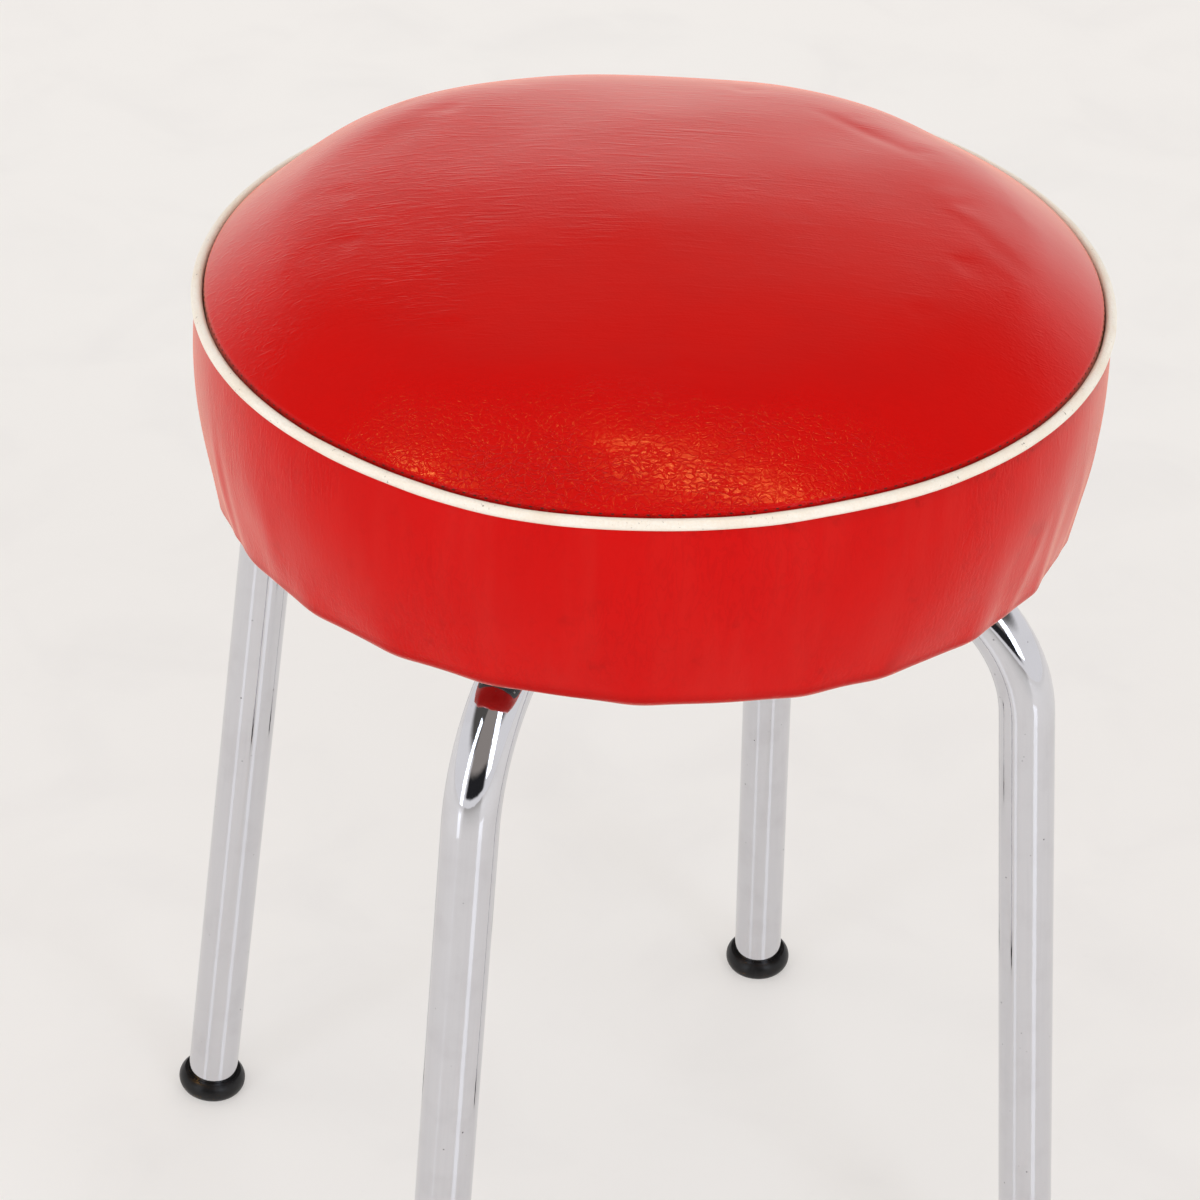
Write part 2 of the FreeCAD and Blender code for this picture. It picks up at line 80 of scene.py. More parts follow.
class Slot(Enum):
    """Material slots of the record that new pieces are made for."""

    RED_VINYL = "red_vinyl"
    CREAM_VINYL = "cream_vinyl"
    CORD_FIBRE = "cord_fibre"
    SEWING_THREAD = "sewing_thread"
    SEAT_FOAM = "seat_foam"
    DUST_CLOTH = "dust_cloth"


class VinylPart(Enum):
    """The two red vinyl pieces, which crease and wear in their own ways."""

    TOP = "top"
    BAND = "band"


# Shader maths

class Wire:
    """A shader socket that takes part in Python arithmetic."""

    def __init__(self, paint: "Paint", socket: bpy.types.NodeSocket) -> None:
        """Wraps an output socket of a node in a paint's tree."""
        self.paint = paint
        self.socket = socket

    def math(self, operation: str, *others: "Value") -> "Wire":
        """Result of a Math node whose first value is this wire."""
        values = dict(enumerate((self, *others)))
        return self.paint.make("ShaderNodeMath", {"operation": operation}, values)

    def __add__(self, other: "Value") -> "Wire":
        """Sum."""
        return self.math("ADD", other)

    __radd__ = __add__

    def __sub__(self, other: "Value") -> "Wire":
        """Difference."""
        return self.math("SUBTRACT", other)

    def __rsub__(self, other: float) -> "Wire":
        """Number minus this wire."""
        return self.math("MULTIPLY_ADD", -1.0, other)

    def __mul__(self, other: "Value") -> "Wire":
        """Product."""
        return self.math("MULTIPLY", other)

    __rmul__ = __mul__

    def __truediv__(self, other: "Value") -> "Wire":
        """Quotient."""
        return self.math("DIVIDE", other)

    def __pow__(self, other: float) -> "Wire":
        """Power."""
        return self.math("POWER", other)

    def smooth(self, low: float, high: float) -> "Wire":
        """Smooth step from 0 at the low value to 1 at the high one.

        Args:
            low: Value that gives 0. It may lie above the high value.
            high: Value that gives 1.

        Returns:
            The step, as a wire.
        """
        settings = {"interpolation_type": "SMOOTHSTEP"}
        ends = {"From Min": min(low, high), "From Max": max(low, high)}
        step = self.paint.make("ShaderNodeMapRange", settings, {"Value": self, **ends})
        return step if low < high else 1 - step


Value = Union[float, Wire, Sequence[float]]


class Paint:
    """Node tree of a material or of the world, emptied and filled anew."""

    def __init__(self, tree: bpy.types.NodeTree) -> None:
        """Takes over a tree and clears it."""
        self.tree = tree
        tree.nodes.clear()

    def make(self, kind: str, settings: Optional[Mapping[str, Any]] = None,
             sockets: Optional[Mapping[Union[int, str], Value]] = None,
             output: Union[int, str] = 0) -> Wire:
        """Adds a node.

        Args:
            kind: Blender's type of the node.
            settings: Attributes of the node, set first.
            sockets: Values or wires of its inputs, by name or place.
            output: Name or place of the output that is wanted.

        Returns:
            The wanted output as a wire.
        """
        node = self.tree.nodes.new(kind)
        for name, value in (settings or {}).items():
            setattr(node, name, value)
        for name, value in (sockets or {}).items():
            if isinstance(value, Wire):
                self.tree.links.new(value.socket, node.inputs[name])
            else:
                node.inputs[name].default_value = value
        return Wire(self, node.outputs[output])

    def place(self) -> Wire:
        """Place on the object in millimetres."""
        metres = self.make("ShaderNodeTexCoord", output="Object")
        return self.scaled(metres, (1 / MM, 1 / MM, 1 / MM))

    def scaled(self, vector: Wire, scale: Sequence[float]) -> Wire:
        """A vector times three numbers."""
        return self.make("ShaderNodeVectorMath", {"operation": "MULTIPLY"}, {0: vector, 1: scale})

    def turned(self, vector: Wire, degrees: float) -> Wire:
        """A vector turned about Z."""
        angle = {"Vector": vector, "Angle": math.radians(degrees)}
        return self.make("ShaderNodeVectorRotate", {"rotation_type": "Z_AXIS"}, angle)

    def axes(self, vector: Wire) -> Tuple[Wire, Wire, Wire, Wire]:
        """The three parts of a vector, and its distance from the Z axis.

        Args:
            vector: The vector.

        Returns:
            Its x, y and z, and the distance.
        """
        outputs = self.make("ShaderNodeSeparateXYZ", sockets={0: vector}).socket.node.outputs
        x, y, z = (Wire(self, output) for output in outputs)
        return x, y, z, (x * x + y * y) ** 0.5

    def ray(self, kind: str) -> Wire:
        """1 for the rays of a kind, by its name in the Light Path node, and 0 for others."""
        return self.make("ShaderNodeLightPath", output=kind)

    def noise(self, place: Wire, size: float, detail: float = 2.0, bend: float = 0.0,
              output: Union[int, str] = 0) -> Wire:
        """Soft noise about 0.5.

        Args:
            place: Vector that it is read at.
            size: Size of its patches, in the units of the place.
            detail: Octaves of finer noise.
            bend: How far the noise distorts itself.
            output: The node's output, where it isn't the plain number.

        Returns:
            The noise, from 0 to 1.
        """
        sockets = {"Vector": place, "Scale": 1 / size, "Detail": detail, "Distortion": bend}
        return self.make("ShaderNodeTexNoise", {}, sockets, output)

    def cells(self, place: Wire, size: float, feature: str = "F1") -> Wire:
        """Cell pattern: distance from the cells' middles or edges."""
        sockets = {"Vector": place, "Scale": 1 / size}
        return self.make("ShaderNodeTexVoronoi", {"feature": feature}, sockets, "Distance")

    def mix(self, share: Value, first: Value, second: Value) -> Wire:
        """Colour between two colours, by a share from 0 to 1."""
        return self.make("ShaderNodeMix", {"data_type": "RGBA"}, {0: share, 6: first, 7: second}, 2)

    def layered(self, colour: Value, *layers: Tuple[Value, Colour]) -> Value:
        """A colour with others laid over it in turn, each by its share.

        Args:
            colour: The lowest colour.
            *layers: Shares from 0 to 1, each with its colour.

        Returns:
            The mixed colour.
        """
        for share, over in layers:
            colour = self.mix(share, colour, over)
        return colour

    def bump(self, height: Wire) -> Wire:
        """Normal of a surface with a height in millimetres."""
        return self.make("ShaderNodeBump", sockets={"Height": height, "Distance": MM})

    def surface(self, colour: Value, roughness: Value, **sockets: Value) -> None:
        """Ends the tree in a surface shader.

        Args:
            colour: Base colour.
            roughness: Roughness.
            **sockets: Other inputs of the shader, with underscores for the spaces in their names.
        """
        named = {name.replace("_", " "): value for name, value in sockets.items()}
        inputs = {"Base Color": colour, "Roughness": roughness, **named}
        self.finish("ShaderNodeOutputMaterial", self.make("ShaderNodeBsdfPrincipled", sockets=inputs))

    def finish(self, kind: str, shader: Wire) -> None:
        """Ends the tree in an output node."""
        node = self.tree.nodes.new(kind)
        self.tree.links.new(shader.socket, node.inputs["Surface"])


@dataclass(frozen=True)
class Patches:
    """Noise cut to a mask: its size, the noise where the mask starts and is full, and its detail."""

    size: float
    low: float
    high: float
    detail: float = 2.0

    def on(self, paint: Paint, place: Wire) -> Wire:
        """The mask at a place, from 0 to 1."""
        return paint.noise(place, self.size, self.detail).smooth(self.low, self.high)


@dataclass(frozen=True)
class Finish:
    """Base of the finishes: a named material whose nodes the finish lays."""

    name: str

    def material(self) -> bpy.types.Material:
        """New material with this finish.

        Returns:
            The material.
        """
        made = bpy.data.materials.new(self.name)
        made.use_nodes = True
        self.lay(Paint(made.node_tree))
        return made

    def lay(self, paint: Paint) -> None:
        """Fills the tree.

        Args:
            paint: The tree.
        """
        raise NotImplementedError


@dataclass(frozen=True)
class RedVinyl(Finish):
    """Red vinyl with a fine crinkled grain and a satin sheen.

    A pair that ends in edge is where a change starts and where it is full. A pair of shares is
    the even part and the part that comes and goes.
    """

    part: VinylPart = VinylPart.TOP
    colour: Colour = srgb(209, 11, 8)
    # The deeper red is both the random mottle and painted shade in the crinkles' valleys.
    deep_and_valley_shade: Colour = srgb(188, 6, 5)
    # The dark red marks dirty specks and scuffs, and is painted shade in the crevice beside the top's seam.
    dirt_and_shade: Colour = srgb(66, 8, 6)
    faded: Colour = srgb(216, 64, 54)
    roughness: float = 0.18
    rough_change: float = 0.05
    specular: float = 0.09
    sheen: float = 1.0
    sheen_roughness: float = 0.32
    sheen_tint: Colour = (1.0, 0.38, 0.27, 1.0)
    glaze: float = 0.6
    glaze_edge: Pair = (0.38, 0.74)
    glaze_roughness: float = 0.26
    glaze_index: float = 1.58
    pebble_size: float = 0.9
    pebble_height: float = 0.036
    crinkle_size: Triple = (24.0, 2.8, 2.8)
    crinkle_detail: float = 1.6
    crinkle_bend: float = 0.9
    crinkle_softness: float = 0.002
    crinkle_heading: float = -20.0
    crinkle_height: Pair = (0.16, 0.42)
    swell_size: float = 24.0
    swell_height: float = 0.25
    drift_size: float = 45.0
    drift_edge: Pair = (0.40, 0.62)
    coarse_lean: float = 0.8
    coarse_stray: float = 70.0
    coarse_edge: Pair = (0.0, 110.0)
    crazed_stray: float = 60.0
    crazed_edge: Pair = (-88.0, -120.0)
    crazed_shares: Pair = (0.35, 0.65)
    crazed_band: float = 0.12
    crack_bend_size: float = 6.25
    crack_bend: float = 7.0
    crack_scale: Triple = (0.27, 0.5, 0.5)
    crack_edge: Pair = (0.16, 0.0)
    crack_depth: float = 0.20
    mottle: Patches = Patches(30.0, 0.3, 0.7, 3.0)
    mottle_share: float = 0.16
    valley_shade_edge: Pair = (0.08, 0.04)
    valley_shade_shares: Pair = (0.08, 0.22)
    speckle: Patches = Patches(5.0, 0.54, 0.75, 3.0)
    speckle_share: float = 0.04
    crevice_shade_edge: Pair = (170.9, 171.9)
    crevice_shade_shares: Pair = (0.5, 0.4)
    bleach: Patches = Patches(14.0, 0.45, 0.7)
    bleach_scale: Triple = (1.0, 1.0, 0.15)
    bleach_share: float = 0.08
    # On the band the colour darkens just under the seam and towards its lower edge.
    seam_edge: Pair = (447.0, 453.0)
    seam_shares: Pair = (0.1, 0.3)
    scuff: Patches = Patches(16.0, 0.62, 0.74, 3.0)
    scuff_edge: Pair = (450.0, 400.0)
    scuff_share: float = 0.14
    foot_edge: Pair = (380.0, 373.5)
    foot_share: float = 0.3

    def lay(self, paint: Paint) -> None:
        """Fills the tree.

        Args:
            paint: The tree.
        """
        place = paint.place()
        turned = paint.turned(place, self.crinkle_heading)
        pebble = paint.cells(place, self.pebble_size, "SMOOTH_F1")
        along = paint.scaled(turned, [1 / size for size in self.crinkle_size])
        offset = paint.noise(along, 1.0, self.crinkle_detail, self.crinkle_bend) - 0.5
        crinkle = (offset * offset + self.crinkle_softness) ** 0.5
        patch, crazed = self.patches(paint, place, turned)
        even, coarse = self.crinkle_height
        height = pebble * self.pebble_height + crinkle * (even + patch * coarse)
        height = height + paint.noise(place, self.swell_size) * self.swell_height
        height = height - self.cracks(paint, turned) * crazed * self.crack_depth
        mottle = self.mottle.on(paint, place)
        # The crinkles' valleys are painted darker: painted shade in the grain.
        even, patchy = self.valley_shade_shares
        valley = crinkle.smooth(*self.valley_shade_edge) * (even + patch * patchy)
        layers = (mottle * self.mottle_share, self.deep_and_valley_shade), (valley, self.deep_and_valley_shade)
        colour = self.worn(paint, place, paint.layered(self.colour, *layers))
        rough = self.roughness + (mottle - 0.5) * self.rough_change + (pebble - 0.5) * self.rough_change
        grazing = paint.make("ShaderNodeLayerWeight", output="Facing")
        glaze = grazing.smooth(*self.glaze_edge) * self.glaze
        paint.surface(colour, rough, Normal=paint.bump(height), Specular_IOR_Level=self.specular,
                      Coat_Weight=glaze, Coat_Roughness=self.glaze_roughness, Coat_IOR=self.glaze_index,
                      Sheen_Weight=self.sheen, Sheen_Roughness=self.sheen_roughness,
                      Sheen_Tint=self.sheen_tint)

    def patches(self, paint: Paint, place: Wire, turned: Wire) -> Tuple[Wire, Wire]:
        """Where the crinkles are coarse and where the cover is crazed.

        Args:
            paint: The tree.
            place: Place in millimetres.
            turned: The same place, turned to the crinkles' heading.

        Returns:
            Both masks, of which the second is a strength.
        """
        drift = paint.noise(place, self.drift_size, 1.0)
        patch = drift.smooth(*self.drift_edge)
        if self.part is VinylPart.BAND:
            return patch, patch * self.crazed_band
        across, away, _, _ = paint.axes(turned)
        even, patchy = self.crazed_shares
        crazed = (away + drift * self.crazed_stray).smooth(*self.crazed_edge) * (even + patch * patchy)
        coarse = away - across * self.coarse_lean + patch * self.coarse_stray
        return coarse.smooth(*self.coarse_edge), crazed

    def cracks(self, paint: Paint, place: Wire) -> Wire:
        """Fine crazing, 1 in its lines: short bent creases where the cover is worn smooth.

        Args:
            paint: The tree.
            place: Place in millimetres, along the crinkles.

        Returns:
            The lines.
        """
        bent = paint.noise(place, self.crack_bend_size, 3.0, output="Color")
        sockets = {0: bent, 1: (self.crack_bend,) * 3, 2: place}
        warped = paint.make("ShaderNodeVectorMath", {"operation": "MULTIPLY_ADD"}, sockets)
        cells = paint.cells(paint.scaled(warped, self.crack_scale), 1.0, "DISTANCE_TO_EDGE")
        return cells.smooth(*self.crack_edge)

    def worn(self, paint: Paint, place: Wire, colour: Wire) -> Wire:
        """Colour with dirty specks, scuffs and fading, painted shade in the crevice beside the top's seam,
        and on the band a darkening just under the seam and towards its lower edge.

        Args:
            paint: The tree.
            place: Place in millimetres.
            colour: Clean colour.

        Returns:
            Colour with its marks and painted shade.
        """
        _, _, z, radius = paint.axes(place)
        speckle = self.speckle.on(paint, place)
        if self.part is VinylPart.TOP:
            # The thin dark line beside the top's seam is painted shade of the crevice, flecked with dirty
            # specks.
            even, speckled = self.crevice_shade_shares
            return paint.mix(radius.smooth(*self.crevice_shade_edge) * (even + speckle * speckled), colour, self.dirt_and_shade)
        bleach = self.bleach.on(paint, paint.scaled(place, self.bleach_scale)) * self.bleach_share
        # The band darkens just under the seam and towards its lower edge; the specks and scuffs are dirty
        # marks.
        even, speckled = self.seam_shares
        dirt_and_shade = z.smooth(*self.foot_edge) * self.foot_share
        dirt_and_shade = dirt_and_shade + z.smooth(*self.seam_edge) * (even + speckle * speckled) + speckle * self.speckle_share
        dirt_and_shade = dirt_and_shade + self.scuff.on(paint, place) * z.smooth(*self.scuff_edge) * self.scuff_share
        return paint.layered(colour, (bleach, self.faded), (dirt_and_shade, self.dirt_and_shade))


@dataclass(frozen=True)
class CreamVinyl(Finish):
    """Cream vinyl of the piping, with tiny nicks and grime, and painted shade on its inner side towards the
    top panel.
    """

    colour: Colour = srgb(253, 244, 230)
    shade: Colour = srgb(238, 214, 184)
    grime: Colour = srgb(120, 98, 78)
    inner_shade: Colour = srgb(204, 160, 112)
    roughness: float = 0.42
    specular: float = 0.35
    tone: Patches = Patches(22.0, 0.35, 0.7)
    fleck: Patches = Patches(0.8, 0.42, 0.6)
    nick: Patches = Patches(1.1, 0.66, 0.74)
    nicked: Patches = Patches(9.0, 0.48, 0.58)
    inner_shade_edge: Pair = (174.2, 172.4)
    tone_share: float = 0.35
    inner_shade_share: float = 0.35
    nick_share: float = 0.7
    fleck_share: float = 0.16
    grain_sizes: Pair = (0.7, 4.0)
    grain_heights: Pair = (0.2, 0.3)
    nick_depth: float = 0.1

    def lay(self, paint: Paint) -> None:
        """Fills the tree.

        Args:
            paint: The tree.
        """
        place = paint.place()
        tone, fleck = self.tone.on(paint, place), self.fleck.on(paint, place)
        nick = self.nick.on(paint, place) * self.nicked.on(paint, place)
        # The piping's inner side, towards the top panel, is painted tan: painted shade.
        inner = paint.axes(place)[3].smooth(*self.inner_shade_edge)
        colour = paint.layered(self.colour, (tone * self.tone_share, self.shade),
                               (inner * self.inner_shade_share, self.inner_shade), (nick * self.nick_share, self.grime),
                               (fleck * self.fleck_share, self.shade))
        fine, wide = (paint.noise(place, size) * height
                      for size, height in zip(self.grain_sizes, self.grain_heights))
        height = fine + wide - nick * self.nick_depth
        rough = self.roughness + (tone - 0.5) * 0.08
        paint.surface(colour, rough, Normal=paint.bump(height), Specular_IOR_Level=self.specular)


@dataclass(frozen=True)
class Fibre(Finish):
    """Spun fibre: cord, thread or woven cloth."""

    colour: Colour = srgb(220, 212, 196)
    shade: Colour = srgb(170, 160, 140)
    pitch: float = 0.5
    relief: float = 0.2
    roughness: float = 0.85
    sheen: float = 0.2

    def lay(self, paint: Paint) -> None:
        """Fills the tree.

        Args:
            paint: The tree.
        """
        place = paint.place()
        x, y, z, _ = paint.axes(place)
        warp, weft = ((way * (TURN / self.pitch)).math("SINE") for way in (x + z, y - z))
        weave = warp * weft * 0.5 + 0.5
        fuzz = paint.noise(place, self.pitch * 3, 3.0)
        # Darker where the weave lies low: painted shade in its hollows, with random fuzz.
        colour = paint.mix(weave * 0.5 + fuzz * 0.5, self.shade, self.colour)
        normal = paint.bump(weave * (self.pitch * self.relief))
        rough = self.roughness + (fuzz - 0.5) * 0.2
        paint.surface(colour, rough, Normal=normal, Sheen_Weight=self.sheen)


@dataclass(frozen=True)
class Foam(Finish):
    """Open-cell cushion foam."""

    colour: Colour = srgb(232, 216, 160)
    shade: Colour = srgb(190, 168, 110)
    pore_size: float = 1.4
    pore_edge: Pair = (0.5, 0.1)
    pore_depth: float = 0.4
    tone_size: float = 30.0
    roughness: float = 0.9

    def lay(self, paint: Paint) -> None:
        """Fills the tree.

        Args:
            paint: The tree.
        """
        place = paint.place()
        pore = paint.cells(place, self.pore_size)
        tone = paint.noise(place, self.tone_size)
        # The pores are painted darker: painted shade in them, with a random tone.
        colour = paint.mix(pore.smooth(*self.pore_edge) * 0.6 + tone * 0.3, self.colour, self.shade)
        paint.surface(colour, self.roughness + pore * 0.05, Normal=paint.bump(pore * self.pore_depth))


@dataclass(frozen=True)
class Plywood(Finish):
    """Bare plywood: face grain on its flats and plies on its edge."""

    light: Colour = srgb(214, 182, 138)
    dark: Colour = srgb(158, 112, 70)
    ply: float = 2.0
    grain_scale: Triple = (0.02, 0.35, 0.35)
    grain_bend: float = 1.5
    grain_edge: Pair = (0.35, 0.7)
    grain_height: float = 0.15
    board_edge: Pair = (160.0, 163.0)
    roughness: float = 0.7

    def lay(self, paint: Paint) -> None:
        """Fills the tree.

        Args:
            paint: The tree.
        """
        place = paint.place()
        _, _, z, radius = paint.axes(place)
        grain = paint.noise(paint.scaled(place, self.grain_scale), 1.0, 4.0, self.grain_bend)
        plies = (z * (TURN / (2 * self.ply))).math("SINE").smooth(-0.2, 0.2)
        share = grain.smooth(*self.grain_edge) * 0.6 + plies * radius.smooth(*self.board_edge) * 0.4
        colour = paint.mix(share, self.light, self.dark)
        rough = self.roughness + (grain - 0.5) * 0.2
        paint.surface(colour, rough, Normal=paint.bump(grain * self.grain_height))


@dataclass(frozen=True)
class Steel(Finish):
    """Zinc-plated steel of the fasteners."""

    light: Colour = srgb(206, 206, 200)
    dark: Colour = srgb(150, 150, 146)
    spangle_size: float = 1.8
    spangle_edge: Pair = (0.3, 0.7)
    brushed_scale: Triple = (6.0, 6.0, 0.6)
    brushed_height: float = 0.02
    roughness: float = 0.3

    def lay(self, paint: Paint) -> None:
        """Fills the tree.

        Args:
            paint: The tree.
        """
        place = paint.place()
        spangle = paint.noise(place, self.spangle_size, 3.0)
        brushed = paint.noise(paint.scaled(place, self.brushed_scale), 1.0)
        colour = paint.mix(spangle.smooth(*self.spangle_edge), self.light, self.dark)
        normal = paint.bump(brushed * self.brushed_height)
        paint.surface(colour, self.roughness + spangle * 0.2, Metallic=1.0, Normal=normal)


@dataclass(frozen=True)
class Chrome(Finish):
    """Polished chrome tube with faint drawing marks, haze and small pits."""

    colour: Colour = srgb(221, 221, 225)
    haze: Colour = srgb(211, 210, 214)
    pit: Colour = srgb(70, 64, 60)
    drawn_scale: Triple = (0.9, 0.9, 0.012)
    drawn_height: float = 0.012
    smudge: Patches = Patches(14.0, 0.45, 0.75, 3.0)
    lone: Patches = Patches(30.0, 0.42, 0.56)
    pit_spacing: float = 6.5
    pit_edge: Pair = (0.08, 0.03)
    pit_depth: float = 0.05
    roughness: float = 0.04

    def lay(self, paint: Paint) -> None:
        """Fills the tree.

        Args:
            paint: The tree.
        """
        place = paint.place()
        drawn = paint.noise(paint.scaled(place, self.drawn_scale), 1.0)
        smudge = self.smudge.on(paint, place)
        pits = paint.cells(place, self.pit_spacing).smooth(*self.pit_edge) * self.lone.on(paint, place)
        colour = paint.layered(self.colour, (smudge * 0.5, self.haze), (pits * 0.8, self.pit))
        rough = self.roughness + smudge * 0.03 + pits * 0.4
        height = drawn * self.drawn_height - pits * self.pit_depth
        paint.surface(colour, rough, Metallic=1.0, Normal=paint.bump(height))


@dataclass(frozen=True)
class Rubber(Finish):
    """Moulded black rubber with a dull bloom."""

    colour: Colour = srgb(14, 13, 14)
    bloom: Colour = srgb(46, 44, 46)
    dust: Patches = Patches(3.5, 0.5, 0.8, 4.0)
    grain_size: float = 0.6
    grain_height: float = 0.03
    roughness: float = 0.34
    specular: float = 0.35

    def lay(self, paint: Paint) -> None:
        """Fills the tree.

        Args:
            paint: The tree.
        """
        place = paint.place()
        dust = self.dust.on(paint, place)
        colour = paint.mix(dust * 0.5, self.colour, self.bloom)
        normal = paint.bump(paint.noise(place, self.grain_size) * self.grain_height)
        rough = self.roughness + dust * 0.25
        paint.surface(colour, rough, Normal=normal, Specular_IOR_Level=self.specular)


@dataclass(frozen=True)
class StudioFloor(Finish):
    """Warm white floor, softly mottled, that keeps the stool's faint shadow."""

    colour: Colour = srgb(246, 242, 238)
    smudge: Colour = srgb(238, 234, 231)
    glow: float = 0.42
    glossy_glow: float = 0.35
    gloss_roughness: float = 0.08
    cloud_size: float = 90.0
    cloud_edge: Pair = (0.42, 0.78)
    cloud_share: float = 0.45
    speck: Patches = Patches(7.0, 0.66, 0.80, 3.0)
    speck_share: float = 0.2

    def lay(self, paint: Paint) -> None:
        """Fills the tree.

        Args:
            paint: The tree.
        """
        place = paint.place()
        cloud = paint.noise(place, self.cloud_size, 5.0, 0.6).smooth(*self.cloud_edge)
        share = cloud * self.cloud_share + self.speck.on(paint, place) * self.speck_share
        colour = paint.mix(share, self.colour, self.smudge)
        camera, glossy = paint.ray("Is Camera Ray"), paint.ray("Is Glossy Ray")
        matt = paint.make("ShaderNodeBsdfDiffuse", sockets={"Color": colour})
        gloss = {"Base Color": colour, "Roughness": self.gloss_roughness, "Specular IOR Level": 1.0}
        shiny = paint.make("ShaderNodeBsdfPrincipled", sockets=gloss)
        body = paint.make("ShaderNodeMixShader", sockets={0: glossy, 1: matt, 2: shiny})
        lit = paint.make("ShaderNodeEmission", sockets={"Color": colour})
        share = camera * self.glow + glossy * self.glossy_glow
        shader = paint.make("ShaderNodeMixShader", sockets={0: share, 1: body, 2: lit})
        paint.finish("ShaderNodeOutputMaterial", shader)


@dataclass(frozen=True)
class Room:
    """World light: soft on matt surfaces, a dim room in reflections, and plain to the camera.

    A pair is the height in the room, from 0 at the horizon to 1 overhead, where a change starts
    and where it is full.
    """

    pale: Colour = (0.84, 0.83, 0.84, 1.0)
    dim: Colour = (0.09, 0.085, 0.08, 1.0)
    pale_edge: Pair = (0.36, 0.56)
    front_dark: Colour = (0.02, 0.02, 0.022, 1.0)
    front_dim: Colour = (0.30, 0.27, 0.25, 1.0)
    front_edge: Pair = (0.22, 0.34)
    front_floor: Pair = (0.0, 0.04)
    front_width: Pair = (-0.82, -0.90)
    soft_low: Colour = (0.80, 0.80, 0.80, 1.0)
    soft_high: Colour = (0.64, 0.64, 0.64, 1.0)
    soft_edge: Pair = (0.0, 0.8)
    backdrop: Colour = srgb(243, 240, 236)

    def lay(self, paint: Paint, heading: float) -> None:
        """Fills the world's tree.

        Args:
            paint: The tree.
            heading: The camera's heading in degrees, which the room's front is behind.
        """
        sky = paint.make("ShaderNodeTexCoord", output="Generated")
        _, y, z, radius = paint.axes(paint.turned(sky, -heading))
        room = paint.mix(z.smooth(*self.pale_edge), self.pale, self.dim)
        before = paint.mix(z.smooth(*self.front_edge), self.front_dark, self.front_dim)
        front = (y / radius).smooth(*self.front_width) * z.smooth(*self.front_floor)
        soft = paint.mix(z.smooth(*self.soft_edge), self.soft_low, self.soft_high)
        colour = paint.mix(paint.ray("Is Glossy Ray"), soft, paint.mix(front, room, before))
        colour = paint.mix(paint.ray("Is Camera Ray"), colour, self.backdrop)
        background = paint.make("ShaderNodeBackground", sockets={"Color": colour, "Strength": 1.0})
        paint.finish("ShaderNodeOutputWorld", background)


# Meshes

def add_object(name: str, data: bpy.types.ID) -> bpy.types.Object:
    """New object in the scene.

    Args:
        name: Its name.
        data: Its mesh, lamp or camera.

    Returns:
        The object.
    """
    made = bpy.data.objects.new(name, data)
    bpy.context.scene.collection.objects.link(made)
    return made


def new_object(name: str, points: np.ndarray, faces: np.ndarray) -> bpy.types.Object:
    """Smooth-shaded mesh object in the scene.

    Args:
        name: Name of the piece.
        points: Its points, of shape (..., 3).
        faces: Its quads, of shape (m, 4).

    Returns:
        The object.
    """
    mesh = bpy.data.meshes.new(name)
    mesh.from_pydata(points.reshape(-1, 3).tolist(), [], faces.tolist())
    mesh.validate()
    mesh.shade_smooth()
    return add_object(name, mesh)


def numbered(rings: np.ndarray, start: int = 0) -> np.ndarray:
    """Point numbers of some rings, from a start on."""
    return start + np.arange(rings.shape[0] * rings.shape[1]).reshape(rings.shape[:2])


def ring_faces(indices: np.ndarray, closed: bool = False) -> np.ndarray:
    """Quads between rings of points that each go once round.

    Args:
        indices: Point numbers, of shape (rings, points in a ring).
        closed: Whether the last ring joins the first.

    Returns:
        The quads, which face outwards where the rings go anticlockwise and downwards or outwards.
    """
    after = np.roll(indices, -1, axis=0) if closed else indices[1:]
    before = indices if closed else indices[:-1]
    quads = (before, after, np.roll(after, -1, axis=1), np.roll(before, -1, axis=1))
    return np.stack(quads, -1).reshape(-1, 4)


def disc_lattice(cells: int) -> Tuple[np.ndarray, np.ndarray, np.ndarray]:
    """Round disc of even quads.

    Args:
        cells: Quads from side to side.

    Returns:
        Points of the unit disc, its quads facing up, and the rim's points anticlockwise.
    """
    line = math.sqrt(2) * np.sin(np.linspace(-math.pi / 4, math.pi / 4, cells + 1))
    u, v = np.meshgrid(line, line, indexing="ij")
    points = np.stack([u * np.sqrt(1 - v * v / 2), v * np.sqrt(1 - u * u / 2)], -1).reshape(-1, 2)
    index = np.arange((cells + 1) ** 2).reshape(cells + 1, cells + 1)
    quads = (index[:-1, :-1], index[1:, :-1], index[1:, 1:], index[:-1, 1:])
    rim = np.concatenate([index[:-1, 0], index[-1, :-1], index[:0:-1, -1], index[0, :0:-1]])
    return points, np.stack(quads, -1).reshape(-1, 4), rim


def rim_angles(count: int) -> np.ndarray:
    """Angles of a rim or ring of points, which starts where a disc lattice's rim does."""
    return -0.75 * math.pi + np.arange(count) * (TURN / count)


def outward(angles: np.ndarray) -> np.ndarray:
    """Level unit vectors at some angles, of shape (angles, 3)."""
    return np.stack([np.cos(angles), np.sin(angles), 0 * angles], -1)


def ring_points(profile: np.ndarray, angles: np.ndarray) -> np.ndarray:
    """Points of a turned profile, of shape (profile points, angles, 3)."""
    radius, height = profile[:, :1], profile[:, 1:]
    return np.stack([radius * np.cos(angles), radius * np.sin(angles), height + 0 * angles], -1)


